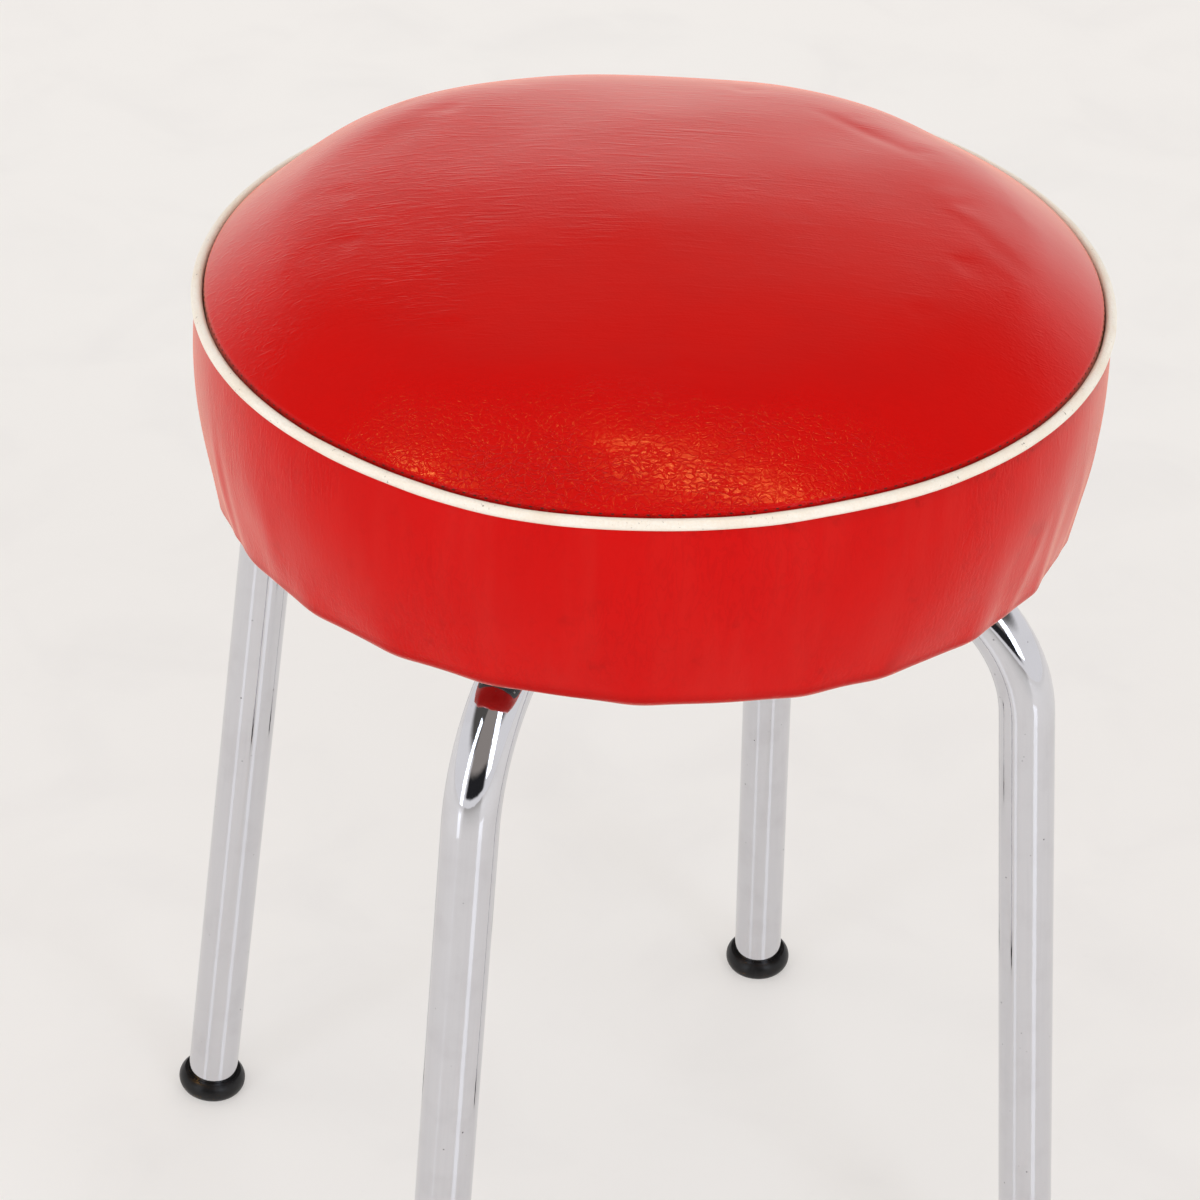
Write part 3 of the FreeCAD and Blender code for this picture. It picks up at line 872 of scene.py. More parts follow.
def tube_points(path: np.ndarray, across: np.ndarray, radius: np.ndarray, around: int) -> np.ndarray:
    """Rings of points round a level path.

    Args:
        path: Its points, of shape (n, 3).
        across: Level unit vectors across it, of the same shape.
        radius: Radius of the rings, of shape (n, around) or one that spreads to it.
        around: Points in a ring.

    Returns:
        The points, of shape (n, around, 3).
    """
    section = np.arange(around)[None, :, None] * (TURN / around)
    reach = np.broadcast_to(radius, (len(path), around))[..., None]
    spokes = np.cos(section) * across[:, None, :] + np.sin(section) * np.array([0.0, 0.0, 1.0])
    return path[:, None, :] + reach * spokes


def arc_points(start: Pair, centre: Pair, sweep: float, count: int) -> np.ndarray:
    """Points along an arc in the radius and height plane, without its start.

    Args:
        start: Where the arc starts.
        centre: Its centre.
        sweep: Its angle in radians, clockwise where it is below zero.
        count: How many points.

    Returns:
        The points, of shape (count, 2).
    """
    reach = np.array(start) - np.array(centre)
    turn = np.linspace(0, sweep, count + 1)[1:]
    x = centre[0] + reach[0] * np.cos(turn) - reach[1] * np.sin(turn)
    y = centre[1] + reach[0] * np.sin(turn) + reach[1] * np.cos(turn)
    return np.stack([x, y], -1)


def fade(values: np.ndarray, start: float, end: float) -> np.ndarray:
    """Smooth step from 0 at the start value to 1 at the end value, which may lie below it."""
    held = np.clip((values - start) / (end - start), 0, 1)
    return held * held * (3 - 2 * held)


def bell(offset: np.ndarray, width: float) -> np.ndarray:
    """Soft hump that is 1 where the offset is 0 and fades within about its width."""
    return np.exp(-((offset / width) ** 2))


@dataclass(frozen=True)
class Waves:
    """Smooth seeded unevenness: a typical wavelength, a size and a seed."""

    length: float
    size: float
    seed: int
    count: int = 9
    spread: Pair = (0.7, 1.6)

    def at(self, places: np.ndarray) -> np.ndarray:
        """One number, up to about the size, for each of some points of shape (..., 3).

        Args:
            places: The points.

        Returns:
            The numbers, of shape (...).
        """
        draw = np.random.default_rng(self.seed)
        total = np.zeros(places.shape[:-1])
        for _ in range(self.count):
            heading = draw.normal(size=3)
            heading /= np.linalg.norm(heading)
            rate = TURN / (self.length * draw.uniform(*self.spread))
            total += np.sin(places @ heading * rate + draw.uniform(0, TURN))
        return total / math.sqrt(self.count) * self.size


@dataclass(frozen=True)
class Crease:
    """A soft ridge, or valley where its depth is below zero, along a line in the top's plan view."""

    start: Pair
    end: Pair
    width: float
    depth: float

    def at(self, x: np.ndarray, y: np.ndarray) -> np.ndarray:
        """How far the cover rises at places of the plan view.

        Args:
            x: Their places across.
            y: Their places away from the front.

        Returns:
            The rises.
        """
        along = np.array(self.end) - np.array(self.start)
        length = np.linalg.norm(along)
        along = along / length
        du, dv = x - self.start[0], y - self.start[1]
        share = (du * along[0] + dv * along[1]) / length
        taper = np.sin(np.clip(share, 0, 1) * math.pi)
        return self.depth * taper * bell(du * -along[1] + dv * along[0], self.width)


@dataclass(frozen=True)
class Sway:
    """A soft local departure somewhere round the seat: degrees, and metres for its size."""

    heading: float
    size: float
    spread: float

    def at(self, angles: np.ndarray) -> np.ndarray:
        """How far it departs at some angles, in radians."""
        turn = (angles - math.radians(self.heading) + math.pi) % TURN - math.pi
        return self.size * bell(turn, math.radians(self.spread))


@dataclass(frozen=True)
class Fold:
    """A soft upright ridge, or valley, of the band.

    Its top and foot are a heading in degrees and a height, and its width is in degrees.
    """

    top: Pair
    foot: Pair
    width: float
    rise: float
    full: float = 0.625

    def at(self, angles: np.ndarray, heights: np.ndarray) -> np.ndarray:
        """How far the band rises at some angles, in radians, and heights.

        Args:
            angles: The angles.
            heights: The heights, one for each angle.

        Returns:
            The rises.
        """
        share = (self.top[1] - heights) / (self.top[1] - self.foot[1])
        heading = self.top[0] + (self.foot[0] - self.top[0]) * share
        turn = (np.degrees(angles) - heading + 180) % 360 - 180
        return self.rise * fade(share, 0, self.full) * bell(turn, self.width)


@dataclass
class Settling:
    """Cloth simulation in which a cover settles over its filling."""

    frames: int = 20
    pressure: float = 4.0
    slack: float = 0.0002
    cap: float = 0.00025
    stiffness: float = 25.0
    bending: float = 8.0
    quality: int = 4
    point_mass: float = 0.3

    def settle(self, points: np.ndarray, faces: np.ndarray, held: np.ndarray) -> np.ndarray:
        """Lets a skin settle.

        Args:
            points: Its points, of shape (n, 3).
            faces: Its quads, facing outwards.
            held: How firmly each point is held, from 0 to 1.

        Returns:
            The settled points, each moved by no more than the cap.
        """
        skin = new_object("settling_skin", points, faces)
        group = skin.vertex_groups.new(name="held")
        for level in np.unique(np.round(held, 1)):
            group.add(np.flatnonzero(np.round(held, 1) == level).tolist(), float(level), "REPLACE")
        cloth = skin.modifiers.new("settling", "CLOTH")
        settings = cloth.settings
        settings.quality = self.quality
        settings.mass = self.point_mass
        settings.tension_stiffness = settings.compression_stiffness = self.stiffness
        settings.shear_stiffness = self.stiffness / 3
        settings.bending_stiffness = self.bending
        settings.vertex_group_mass = group.name
        settings.use_pressure = True
        settings.uniform_pressure_force = self.pressure
        settings.shrink_min = settings.shrink_max = -self.slack
        settings.effector_weights.gravity = 0.0
        cloth.point_cache.frame_start = 1
        cloth.point_cache.frame_end = self.frames
        scene = bpy.context.scene
        for frame_number in range(1, self.frames + 1):
            scene.frame_set(frame_number)
        shape = skin.evaluated_get(bpy.context.evaluated_depsgraph_get())
        moved = np.empty(points.size)
        shape.data.vertices.foreach_get("co", moved)
        bpy.data.objects.remove(skin)
        scene.frame_set(1)
        shift = moved.reshape(-1, 3) - points
        size = np.maximum(np.linalg.norm(shift, axis=1, keepdims=True), 1e-9)
        log.info("settled %d points, by up to %.1f mm", len(points), float(size.max()) / MM)
        return points + shift * (self.cap * np.tanh(size / self.cap) / size)


def refined(name: str, points: np.ndarray, faces: np.ndarray,
            levels: int) -> Tuple[bpy.types.Object, np.ndarray]:
    """Subdivided mesh object.

    Args:
        name: Name of the piece.
        points: Points of the coarse mesh.
        faces: Its quads.
        levels: How many times it is subdivided.

    Returns:
        The object and its points.
    """
    coarse = new_object(name + "_coarse", points, faces)
    smoothing = coarse.modifiers.new("smoothing", "SUBSURF")
    smoothing.levels = levels
    smoothing.boundary_smooth = "PRESERVE_CORNERS"
    shape = coarse.evaluated_get(bpy.context.evaluated_depsgraph_get())
    mesh = bpy.data.meshes.new_from_object(shape)
    bpy.data.objects.remove(coarse)
    mesh.name = name
    fine = np.empty(len(mesh.vertices) * 3)
    mesh.vertices.foreach_get("co", fine)
    return add_object(name, mesh), fine.reshape(-1, 3)


def reshape(piece: bpy.types.Object, points: np.ndarray) -> None:
    """Gives a mesh object new points, smoothly shaded.

    Args:
        piece: The object.
        points: Its new points, as many as before.
    """
    piece.data.vertices.foreach_set("co", points.ravel())
    piece.data.update()
    piece.data.shade_smooth()


@dataclass
class SeatForm:
    """Form that the seat's soft pieces share. Metres."""

    seam_radius: float = 0.174
    piping_radius: float = 0.0022
    piping_inset: float = 0.0002
    piping_height: float = 0.4562
    seam_height: float = 0.455
    top_height: float = 0.496
    underside: float = 0.3735
    crown_centre_radius: float = 0.120
    crown_centre_drop: float = 0.0102
    ply_radius: float = 0.1711
    band_top: Pair = (0.1747, 0.4531)
    band_foot: float = 0.1656
    band_bulge: float = 0.0043
    lean: Pair = (0.00907, 0.02356)
    lift_start: float = 0.150
    lift: float = 0.0040
    roll_start: float = 0.1705
    roll_radius: float = 0.0034
    roll_past: float = math.radians(25)
    slope_step: float = 1e-5
    seam_sways: Sequence[Sway] = (Sway(-87, -0.0014, 13), Sway(-46, 0.0009, 9), Sway(-8, -0.0006, 16))
    stray_out: Waves = Waves(0.16, 0.0002, 11)
    stray_up: Waves = Waves(0.09, 0.00015, 12)

    @classmethod
    def from_frame(cls) -> "SeatForm":
        """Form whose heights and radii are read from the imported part.

        Returns:
            The form.
        """
        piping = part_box("piping_cover")[1]
        form = cls(underside=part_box("side_band")[0].z, top_height=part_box("top_cover")[1].z)
        form.piping_height = piping.z - form.piping_radius - form.piping_inset
        form.seam_radius = piping.x - form.piping_radius - form.piping_inset
        return form

    def crown(self) -> Tuple[float, float, float, float, float]:
        """Height and radius of the middle arc, and centre and radius of the shoulder arc.

        Returns:
            Those five lengths, with the shoulder centre as its radius and its height.
        """
        drop, reach = self.crown_centre_drop, self.crown_centre_radius
        middle = (reach ** 2 + drop ** 2) / (2 * drop)
        tilt = math.asin(reach / middle)
        inward = (-math.sin(tilt), -math.cos(tilt))
        span = (self.ply_radius - reach, self.seam_height - (self.top_height - drop))
        along = inward[0] * span[0] + inward[1] * span[1]
        shoulder = (span[0] ** 2 + span[1] ** 2) / (2 * along)
        centre = (reach + shoulder * inward[0], self.top_height - drop + shoulder * inward[1])
        return self.top_height - middle, middle, centre[0], centre[1], shoulder

    def panel_height(self, radius: np.ndarray) -> np.ndarray:
        """Height of the cover at a radius, where it lifts off the crown beside the seam.

        Args:
            radius: The radius.

        Returns:
            The height.
        """
        low, middle, centre_r, centre_z, shoulder = self.crown()
        inner = low + np.sqrt(np.maximum(middle ** 2 - radius ** 2, 0))
        outer = centre_z + np.sqrt(np.maximum(shoulder ** 2 - (radius - centre_r) ** 2, 0))
        share = np.maximum(radius - self.lift_start, 0) / (self.roll_start - self.lift_start)
        return np.where(radius < self.crown_centre_radius, inner, outer) + self.lift * share ** 2

    def roll(self) -> Tuple[Pair, Pair, float]:
        """Start and centre of the arc in which the cover turns down to the seam, and its sweep.

        Returns:
            Both points as radius and height, and the sweep in radians.
        """
        start = (self.roll_start, float(self.panel_height(np.array(self.roll_start))))
        before = float(self.panel_height(np.array(self.roll_start - self.slope_step)))
        angle = math.atan((before - start[1]) / self.slope_step)
        centre = (start[0] - self.roll_radius * math.sin(angle),
                  start[1] - self.roll_radius * math.cos(angle))
        return start, centre, -(math.pi / 2 - angle + self.roll_past)

    def side_radius(self, height: np.ndarray) -> np.ndarray:
        """Radius of the band's outside at a height, on an arc through its top and foot.

        Args:
            height: The height.

        Returns:
            The radius.
        """
        top, foot = np.array(self.band_top), np.array((self.band_foot, self.underside))
        chord = math.hypot(*(top - foot))
        across = np.array((top[1] - foot[1], foot[0] - top[0])) / chord
        sagitta = self.band_bulge * across[0]
        radius = (chord ** 2 / 4 + sagitta ** 2) / (2 * sagitta)
        centre = (top + foot) / 2 - across * (radius - sagitta)
        return centre[0] + np.sqrt(radius ** 2 - (height - centre[1]) ** 2)

    def leaned(self, points: np.ndarray) -> np.ndarray:
        """Points with the seat's slight lean, which grows from the board up to the seam.

        Args:
            points: Points of the level seat.

        Returns:
            The leaned points.
        """
        share = np.clip((points[..., 2] - self.underside) / (self.piping_height - self.underside), 0, 1)
        moved = points.copy()
        moved[..., 2] += share * (points[..., 0] * self.lean[0] + points[..., 1] * self.lean[1])
        return moved

    def seam_sway(self, angles: np.ndarray) -> Tuple[np.ndarray, np.ndarray]:
        """How far the sewn seam strays outwards and upwards round the seat.

        Args:
            angles: Angles in radians.

        Returns:
            Both distances at each angle.
        """
        circle = outward(angles) * self.seam_radius
        up = sum(sway.at(angles) for sway in self.seam_sways)
        return self.stray_out.at(circle), up + self.stray_up.at(circle)

    def seam_path(self, angles: np.ndarray) -> np.ndarray:
        """Centre line of the piping.

        Args:
            angles: Angles in radians.

        Returns:
            A point for each angle.
        """
        out, up = self.seam_sway(angles)
        path = outward(angles) * (self.seam_radius + out)[:, None]
        path[:, 2] = self.piping_height + up
        return self.leaned(path)


def dress(piece: bpy.types.Object, finish: Finish, slot: Slot, *nodes: str) -> bpy.types.Object:
    """Gives a new piece its material, hides the part's nodes that it replaces, and mounts it.

    Args:
        piece: The piece, in place.
        finish: Its finish.
        slot: The record's slot that the finish belongs to; not used.
        *nodes: Nodes of the part that it replaces.

    Returns:
        The piece.
    """
    piece.data.materials.append(finish.material())
    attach(piece, ROOT)
    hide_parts(*nodes)
    log.info("%s: %d points", piece.name, len(piece.data.vertices))
    return piece


def thicken(piece: bpy.types.Object, thickness: float) -> bpy.types.Object:
    """Gives a skin its thickness, inwards from the outside.

    Args:
        piece: The skin.
        thickness: Its thickness.

    Returns:
        The same piece.
    """
    shell = piece.modifiers.new("thickness", "SOLIDIFY")
    shell.thickness = thickness
    shell.offset = -1.0
    return piece


def recoat(finish: Finish, *nodes: str) -> None:
    """Gives nodes of the part a finish in all their material slots.

    Args:
        finish: The finish.
        *nodes: The nodes.
    """
    made = finish.material()
    for node in nodes:
        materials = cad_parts[node].data.materials
        for place in range(len(materials)):
            materials[place] = made
        if not materials:
            materials.append(made)
        log.info("%s: finish %s", node, made.name)


@dataclass
class TopPanel:
    """Crowned panel that settles over the foam, and whose edge rolls down into the seam."""

    form: SeatForm
    cells: int = 48
    disc_radius: float = 0.1
    crown_rings: int = 22
    roll_rings: int = 7
    neck_rings: int = 3
    thickness: float = 0.001
    seam_foot: float = 0.4460
    neck_radius: float = 0.1706
    free_edge: Pair = (0.1675, 0.1555)
    edge_width: float = 0.03
    shoulder_in: Pair = (0.07, 0.14)
    shoulder_out: float = 0.013
    flaws: Waves = Waves(0.05, 0.0001, 51)
    rumple: Waves = Waves(0.11, 0.0004, 21)
    swells: Sequence[Sway] = (Sway(156, 0.0034, 18), Sway(110, -0.0024, 16), Sway(62, -0.0012, 9))
    creases: Sequence[Crease] = (
        Crease((0.016, 0.111), (0.088, 0.081), 0.0040, -0.00030),
        Crease((0.026, 0.119), (0.096, 0.092), 0.0070, 0.00030),
        Crease((0.092, 0.066), (0.128, 0.030), 0.0070, 0.00025),
        Crease((0.100, 0.050), (0.142, 0.020), 0.0060, -0.00020),
        Crease((-0.150, -0.030), (-0.118, 0.060), 0.0100, 0.00030),
        Crease((-0.128, -0.030), (-0.100, 0.070), 0.0090, -0.00030),
    )

    def profile(self) -> np.ndarray:
        """Radius and height of the panel's rings, from the middle disc out and down the seam.

        Returns:
            The profile, of shape (rings, 2).
        """
        start, centre, sweep = self.form.roll()
        radii = np.linspace(self.disc_radius, start[0], self.crown_rings + 1)[1:]
        crown = np.stack([radii, self.form.panel_height(radii)], -1)
        roll = arc_points(start, centre, sweep, self.roll_rings)
        neck = np.linspace(roll[-1], (self.neck_radius, self.seam_foot), self.neck_rings + 1)[1:]
        return np.concatenate([crown, roll, neck])

    def disc(self, inset: float = 0.0) -> Tuple[np.ndarray, np.ndarray, np.ndarray]:
        """Points of the middle disc, lowered by an inset, its quads and its rim.

        Args:
            inset: How far it lies under the cover.

        Returns:
            The points, the quads and the rim's point numbers.
        """
        flat, quads, rim = disc_lattice(self.cells)
        middle = flat * self.disc_radius
        height = self.form.panel_height(np.linalg.norm(middle, axis=1)) - inset
        return np.column_stack([middle, height]), quads, rim

    def build(self, settling: Settling) -> bpy.types.Object:
        """Makes the panel.

        Args:
            settling: The simulation in which it settles.

        Returns:
            The panel.
        """
        disc, quads, rim = self.disc()
        rings = ring_points(self.profile(), rim_angles(4 * self.cells))
        faces = np.concatenate([quads, ring_faces(np.vstack([rim[None], numbered(rings, len(disc))]))])
        points = np.concatenate([disc, rings.reshape(-1, 3)])
        free = fade(np.hypot(points[:, 0], points[:, 1]), *self.free_edge)
        points[:, 2] += self.flaws.at(points) * free
        points = settling.settle(points, faces, 1 - free)
        panel, points = refined("top_panel", points, faces, 2)
        reshape(panel, self.form.leaned(self.crowned(points)))
        return thicken(panel, self.thickness)

    def crowned(self, points: np.ndarray) -> np.ndarray:
        """Points of a crown with the unevenness and creases of the photographed cover.

        Args:
            points: Points of the plain crown.

        Returns:
            The moved points.
        """
        form, (x, y, z) = self.form, points.T
        radius, angles = np.hypot(x, y), np.arctan2(y, x)
        free = np.clip((form.roll_start - radius) / self.edge_width, 0, 1)
        rise = self.rumple.at(points) + sum(crease.at(x, y) for crease in self.creases)
        shoulder = fade(radius, *self.shoulder_in)
        shoulder = shoulder * fade(radius, form.ply_radius, form.ply_radius - self.shoulder_out)
        swell = sum(swell.at(angles) for swell in self.swells)
        out, up = form.seam_sway(angles)
        upper = fade(z, self.seam_foot, form.seam_height)
        moved = points * (1 + out * (1 - free) / np.maximum(radius, 0.01))[:, None]
        moved[:, 2] = z + (rise * free + swell * shoulder + up * (1 - free)) * upper
        return moved


@dataclass
class SideBand:
    """Side band from the seam down round the lower edge, and its hem under the board."""

    form: SeatForm
    around: int = 384
    side_rings: int = 30
    corner_rings: int = 7
    hem_rings: int = 9
    thickness: float = 0.001
    top_inset: float = 0.0012
    hem_radius: float = 0.136
    corner_radius: float = 0.0045
    corner_out: float = 0.0010
    corner_reach: float = 0.016
    free_low: Pair = (0.06, 0.16)
    free_high: Pair = (0.96, 0.86)
    droop: float = 0.0014
    droop_edge: Pair = (0.154, 0.162)
    droop_reach: float = 0.008
    sway_edge: Pair = (0.43, 0.454)
    side_height: float = 0.004
    seam_reach: float = 0.02
    pleat_reach: float = 0.013
    pleat_width: float = 3.6
    pleat_mean: float = 0.42
    pleat_drop: float = 0.0010
    pleat_out: float = 0.0012
    pleats: Sequence[float] = (-115, -101, -88, -69, -48, -37, -22, -7, 7, 22, 38, 51, 67, 83, 97, 112,
                               128, 141, 158, 171, 186, 202, 217, 231)
    rumple: Waves = Waves(0.12, 0.0004, 31)
    upright: Waves = Waves(0.028, 0.00012, 33)
    fold_share: float = 0.5
    folds: Sequence[Fold] = (
        Fold((-137, 0.434), (-135.5, 0.380), 1.4, 0.0009),
        Fold((-132.3, 0.449), (-131.8, 0.400), 1.8, 0.0003),
        Fold((-134.5, 0.430), (-133.5, 0.385), 1.2, -0.0005),
        Fold((-122, 0.432), (-122.3, 0.382), 2.2, 0.0006),
        Fold((-0.8, 0.434), (2, 0.382), 1.6, 0.0009),
        Fold((-7.2, 0.427), (-7, 0.380), 1.5, 0.0010),
        Fold((-4, 0.424), (-3, 0.380), 1.4, -0.0007),
        Fold((-10.6, 0.420), (-13.4, 0.386), 1.5, 0.0008),
        Fold((6, 0.438), (7, 0.382), 1.5, 0.0008),
        Fold((-20.8, 0.436), (-21.5, 0.390), 2.4, 0.0005),
        Fold((-16.5, 0.420), (-17.5, 0.384), 1.6, -0.0005),
        Fold((40, 0.436), (38, 0.382), 1.6, 0.0008),
        Fold((68, 0.430), (67, 0.382), 1.5, 0.0009),
        Fold((96, 0.440), (97, 0.384), 2.0, 0.0007),
        Fold((130, 0.430), (128, 0.382), 1.5, 0.0009),
        Fold((169, 0.434), (171, 0.384), 1.8, 0.0008),
        Fold((203, 0.436), (202, 0.382), 1.4, 0.0008),
        Fold((213, 0.428), (215, 0.386), 1.4, -0.0005),
    )

    def build(self, settling: Settling) -> bpy.types.Object:
        """Makes the band.

        Args:
            settling: The simulation in which it settles.

        Returns:
            The band.
        """
        form, floor = self.form, self.form.underside
        heights = np.linspace(form.piping_height - self.top_inset, floor + self.corner_radius,
                              self.side_rings)
        low = bell(heights - floor, self.corner_reach)
        side = np.stack([form.side_radius(heights) + low * self.corner_out, heights], -1)
        centre = (side[-1, 0] - self.corner_radius, floor + self.corner_radius)
        corner = arc_points(side[-1], centre, -math.pi / 2, self.corner_rings)
        hem = np.linspace((corner[-1, 0], floor), (self.hem_radius, floor), self.hem_rings + 1)[1:]
        rings = ring_points(np.concatenate([side, corner, hem]), rim_angles(self.around))
        points, faces = rings.reshape(-1, 3), ring_faces(numbered(rings))
        share = (points[:, 2] - floor) / (form.piping_height - floor)
        free = fade(share, *self.free_low) * fade(share, *self.free_high)
        points = settling.settle(points, faces, 1 - free)
        band, points = refined("seat_band", points, faces, 1)
        reshape(band, form.leaned(self.banded(points)))
        return thicken(band, self.thickness)

    def pleat(self, angles: np.ndarray) -> np.ndarray:
        """Share of a pleat at some angles: 1 on its corner, and below 0 in the flats between."""
        corners = sum(Sway(heading, 1.0, self.pleat_width).at(angles) for heading in self.pleats)
        return corners - self.pleat_mean

    def banded(self, points: np.ndarray) -> np.ndarray:
        """Band's points with its folds, its pleats and the droop of its lower edge.

        Args:
            points: Points of the plain band.

        Returns:
            The moved points.
        """
        form, (x, y, z) = self.form, points.T
        radius, angles = np.hypot(x, y), np.arctan2(y, x)
        above, pleat = z - form.underside, self.pleat(angles)
        out, up = form.seam_sway(angles)
        free = np.clip((form.piping_height - z) / self.seam_reach, 0, 1)
        rise = (self.rumple.at(points) + self.upright.at(points * (1, 1, 0.3))) * free
        rise = rise + sum(fold.at(angles, z) for fold in self.folds) * self.fold_share
        rise = rise + bell(above, self.pleat_reach) * pleat * self.pleat_out
        rise = rise * fade(above, 0, self.side_height) + out * (1 - free)
        hang = fade(radius, *self.droop_edge) * bell(above, self.droop_reach)
        moved = points * (1 + rise / radius)[:, None]
        moved[:, 2] = z - hang * (self.droop + pleat * self.pleat_drop) + up * fade(z, *self.sway_edge)
        return moved


@dataclass
class Seam:
    """Piping, its filler cord and the stitches of the seam."""

    form: SeatForm
    piping_points: int = 640
    piping_around: int = 20
    piping_swell: Waves = Waves(0.02, 0.018, 41)
    cord_points: int = 960
    cord_around: int = 12
    cord_radius: float = 0.0017
    cord_strands: int = 3
    cord_turns: int = 120
    cord_groove: float = 0.12
    thread_radius: float = 0.0003
    stitch_pitch: float = 0.0042
    stitch_share: float = 0.62
    stitch_points: int = 7
    stitch_around: int = 6
    stitch_angle: float = 0.35
    end_share: float = 0.02

    def tube(self, name: str, radius: np.ndarray, around: int) -> bpy.types.Object:
        """Closed tube along the seam.

        Args:
            name: Name of the piece.
            radius: Radius of its section, one row for each point along the seam.
            around: Points round its section.

        Returns:
            The tube.
        """
        angles = rim_angles(len(radius))
        rings = tube_points(self.form.seam_path(angles), outward(angles), radius, around)
        return new_object(name, rings, ring_faces(numbered(rings), closed=True))

    def piping(self) -> bpy.types.Object:
        """Cream piping round the seam.

        Returns:
            The piping.
        """
        circle = outward(rim_angles(self.piping_points)) * self.form.seam_radius
        radius = self.form.piping_radius * (1 + self.piping_swell.at(circle))
        return self.tube("seam_piping", radius[:, None], self.piping_around)

    def filler_cord(self) -> bpy.types.Object:
        """Twisted filler cord inside the piping.

        Returns:
            The cord.
        """
        section = np.arange(self.cord_around) * (TURN / self.cord_around)
        twist = np.arange(self.cord_points)[:, None] * (TURN * self.cord_turns / self.cord_points)
        strands = 1 + self.cord_groove * np.cos(self.cord_strands * (section + twist))
        return self.tube("piping_filler_cord", self.cord_radius * strands, self.cord_around)

    def stitches(self) -> bpy.types.Object:
        """Lock stitches of the seam, half sunk in the rolled edge beside the piping.

        Returns:
            The stitches.
        """
        form, thread = self.form, self.thread_radius
        _, centre, _ = form.roll()
        reach = form.roll_radius - thread * 0.5
        inward = centre[0] + reach * math.cos(self.stitch_angle) - form.seam_radius
        rise = centre[1] + reach * math.sin(self.stitch_angle) - form.piping_height
        count = round(TURN * form.seam_radius / self.stitch_pitch)
        share = np.linspace(-1, 1, self.stitch_points)
        radius = thread * np.sqrt(np.maximum(1 - share ** 6, self.end_share))[:, None]
        stitches = []
        for number in range(count):
            angles = number * TURN / count + share * (self.stitch_share * math.pi / count)
            across = outward(angles)
            sunk = inward - share[:, None] ** 2 * thread * 2
            path = form.seam_path(angles) + across * sunk + np.array([0, 0, rise])
            stitches.append(tube_points(path, across, radius, self.stitch_around))
        size = self.stitch_points * self.stitch_around
        faces = [ring_faces(numbered(rings, place * size)) for place, rings in enumerate(stitches)]
        return new_object("seam_stitches", np.concatenate(stitches), np.concatenate(faces))


@dataclass
class PaddedSeat:
    """The seat's soft pieces: top panel, band, piping, stitches and foam."""

    form: SeatForm
    settling: Settling = field(default_factory=Settling)
    foam_inset: float = 0.0026
    foam_side_inset: float = 0.0024
    foam_edge: float = 0.0025
    foam_neck: Tuple[Pair, Pair] = ((0.1680, 0.452), (0.1676, 0.4454))
    foam_rings: Tuple[int, int, int] = (21, 18, 11)

    def build(self) -> None:
        """Makes and dresses every soft piece of the seat."""
        panel, seam = TopPanel(self.form), Seam(self.form)
        red = RedVinyl("red_vinyl_top")
        red_band = RedVinyl("red_vinyl_band", part=VinylPart.BAND, glaze=0.24, crinkle_size=(2.8, 2.8, 11.2),
                            crinkle_height=(0.16, 0.12))
        top = dress(panel.build(self.settling), red, Slot.RED_VINYL, "top_cover")
        dress(SideBand(self.form).build(self.settling), red_band, Slot.RED_VINYL, "side_band")
        dress(seam.piping(), CreamVinyl("cream_vinyl_piping"), Slot.CREAM_VINYL, "piping_cover")
        dress(seam.filler_cord(), Fibre("cord_fibre_filler"), Slot.CORD_FIBRE, "piping_cord")
        thread = Fibre("seam_thread_red", colour=srgb(84, 14, 12), shade=srgb(34, 6, 6), sheen=0.0)
        dress(seam.stitches(), thread, Slot.SEWING_THREAD, "seam_thread")
        foam = dress(self.foam(panel), Foam("seat_foam_core"), Slot.SEAT_FOAM, "foam_pad")

    def foam(self, panel: TopPanel) -> bpy.types.Object:
        """Closed foam body with the crown, the neck inside the seam and the drawn-in sides.

        Args:
            panel: The top panel over it.

        Returns:
            The foam.
        """
        form, middle = self.form, panel.disc_radius
        crown_rings, side_rings, low_rings = self.foam_rings
        board_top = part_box("foam_pad")[0].z
        top, quads, rim = panel.disc(self.foam_inset)
        radii = np.linspace(middle, form.roll_start - self.foam_edge, crown_rings + 1)[1:]
        crown = np.stack([radii, form.panel_height(radii) - self.foam_inset], -1)
        heights = np.linspace(self.foam_neck[1][1], board_top, side_rings)
        side = np.stack([form.side_radius(heights) - self.foam_side_inset, heights], -1)
        low = np.linspace(side[-1], (middle, board_top), low_rings + 1)[1:]
        profile = np.concatenate([crown, self.foam_neck, side, low])
        rings = ring_points(profile, rim_angles(4 * panel.cells))
        index = numbered(rings, len(top))
        inside = np.setdiff1d(np.arange(len(top)), rim)
        numbers = np.zeros(len(top), int)
        numbers[inside] = index[-1, -1] + 1 + np.arange(len(inside))
        numbers[rim] = index[-1]
        bottom = np.column_stack([top[inside, :2], np.full(len(inside), board_top)])
        faces = np.concatenate([quads, ring_faces(np.vstack([rim[None], index])), numbers[quads][:, ::-1]])
        points = np.concatenate([top, rings.reshape(-1, 3), bottom])
        return new_object("foam_cushion", form.leaned(panel.crowned(points)), faces)


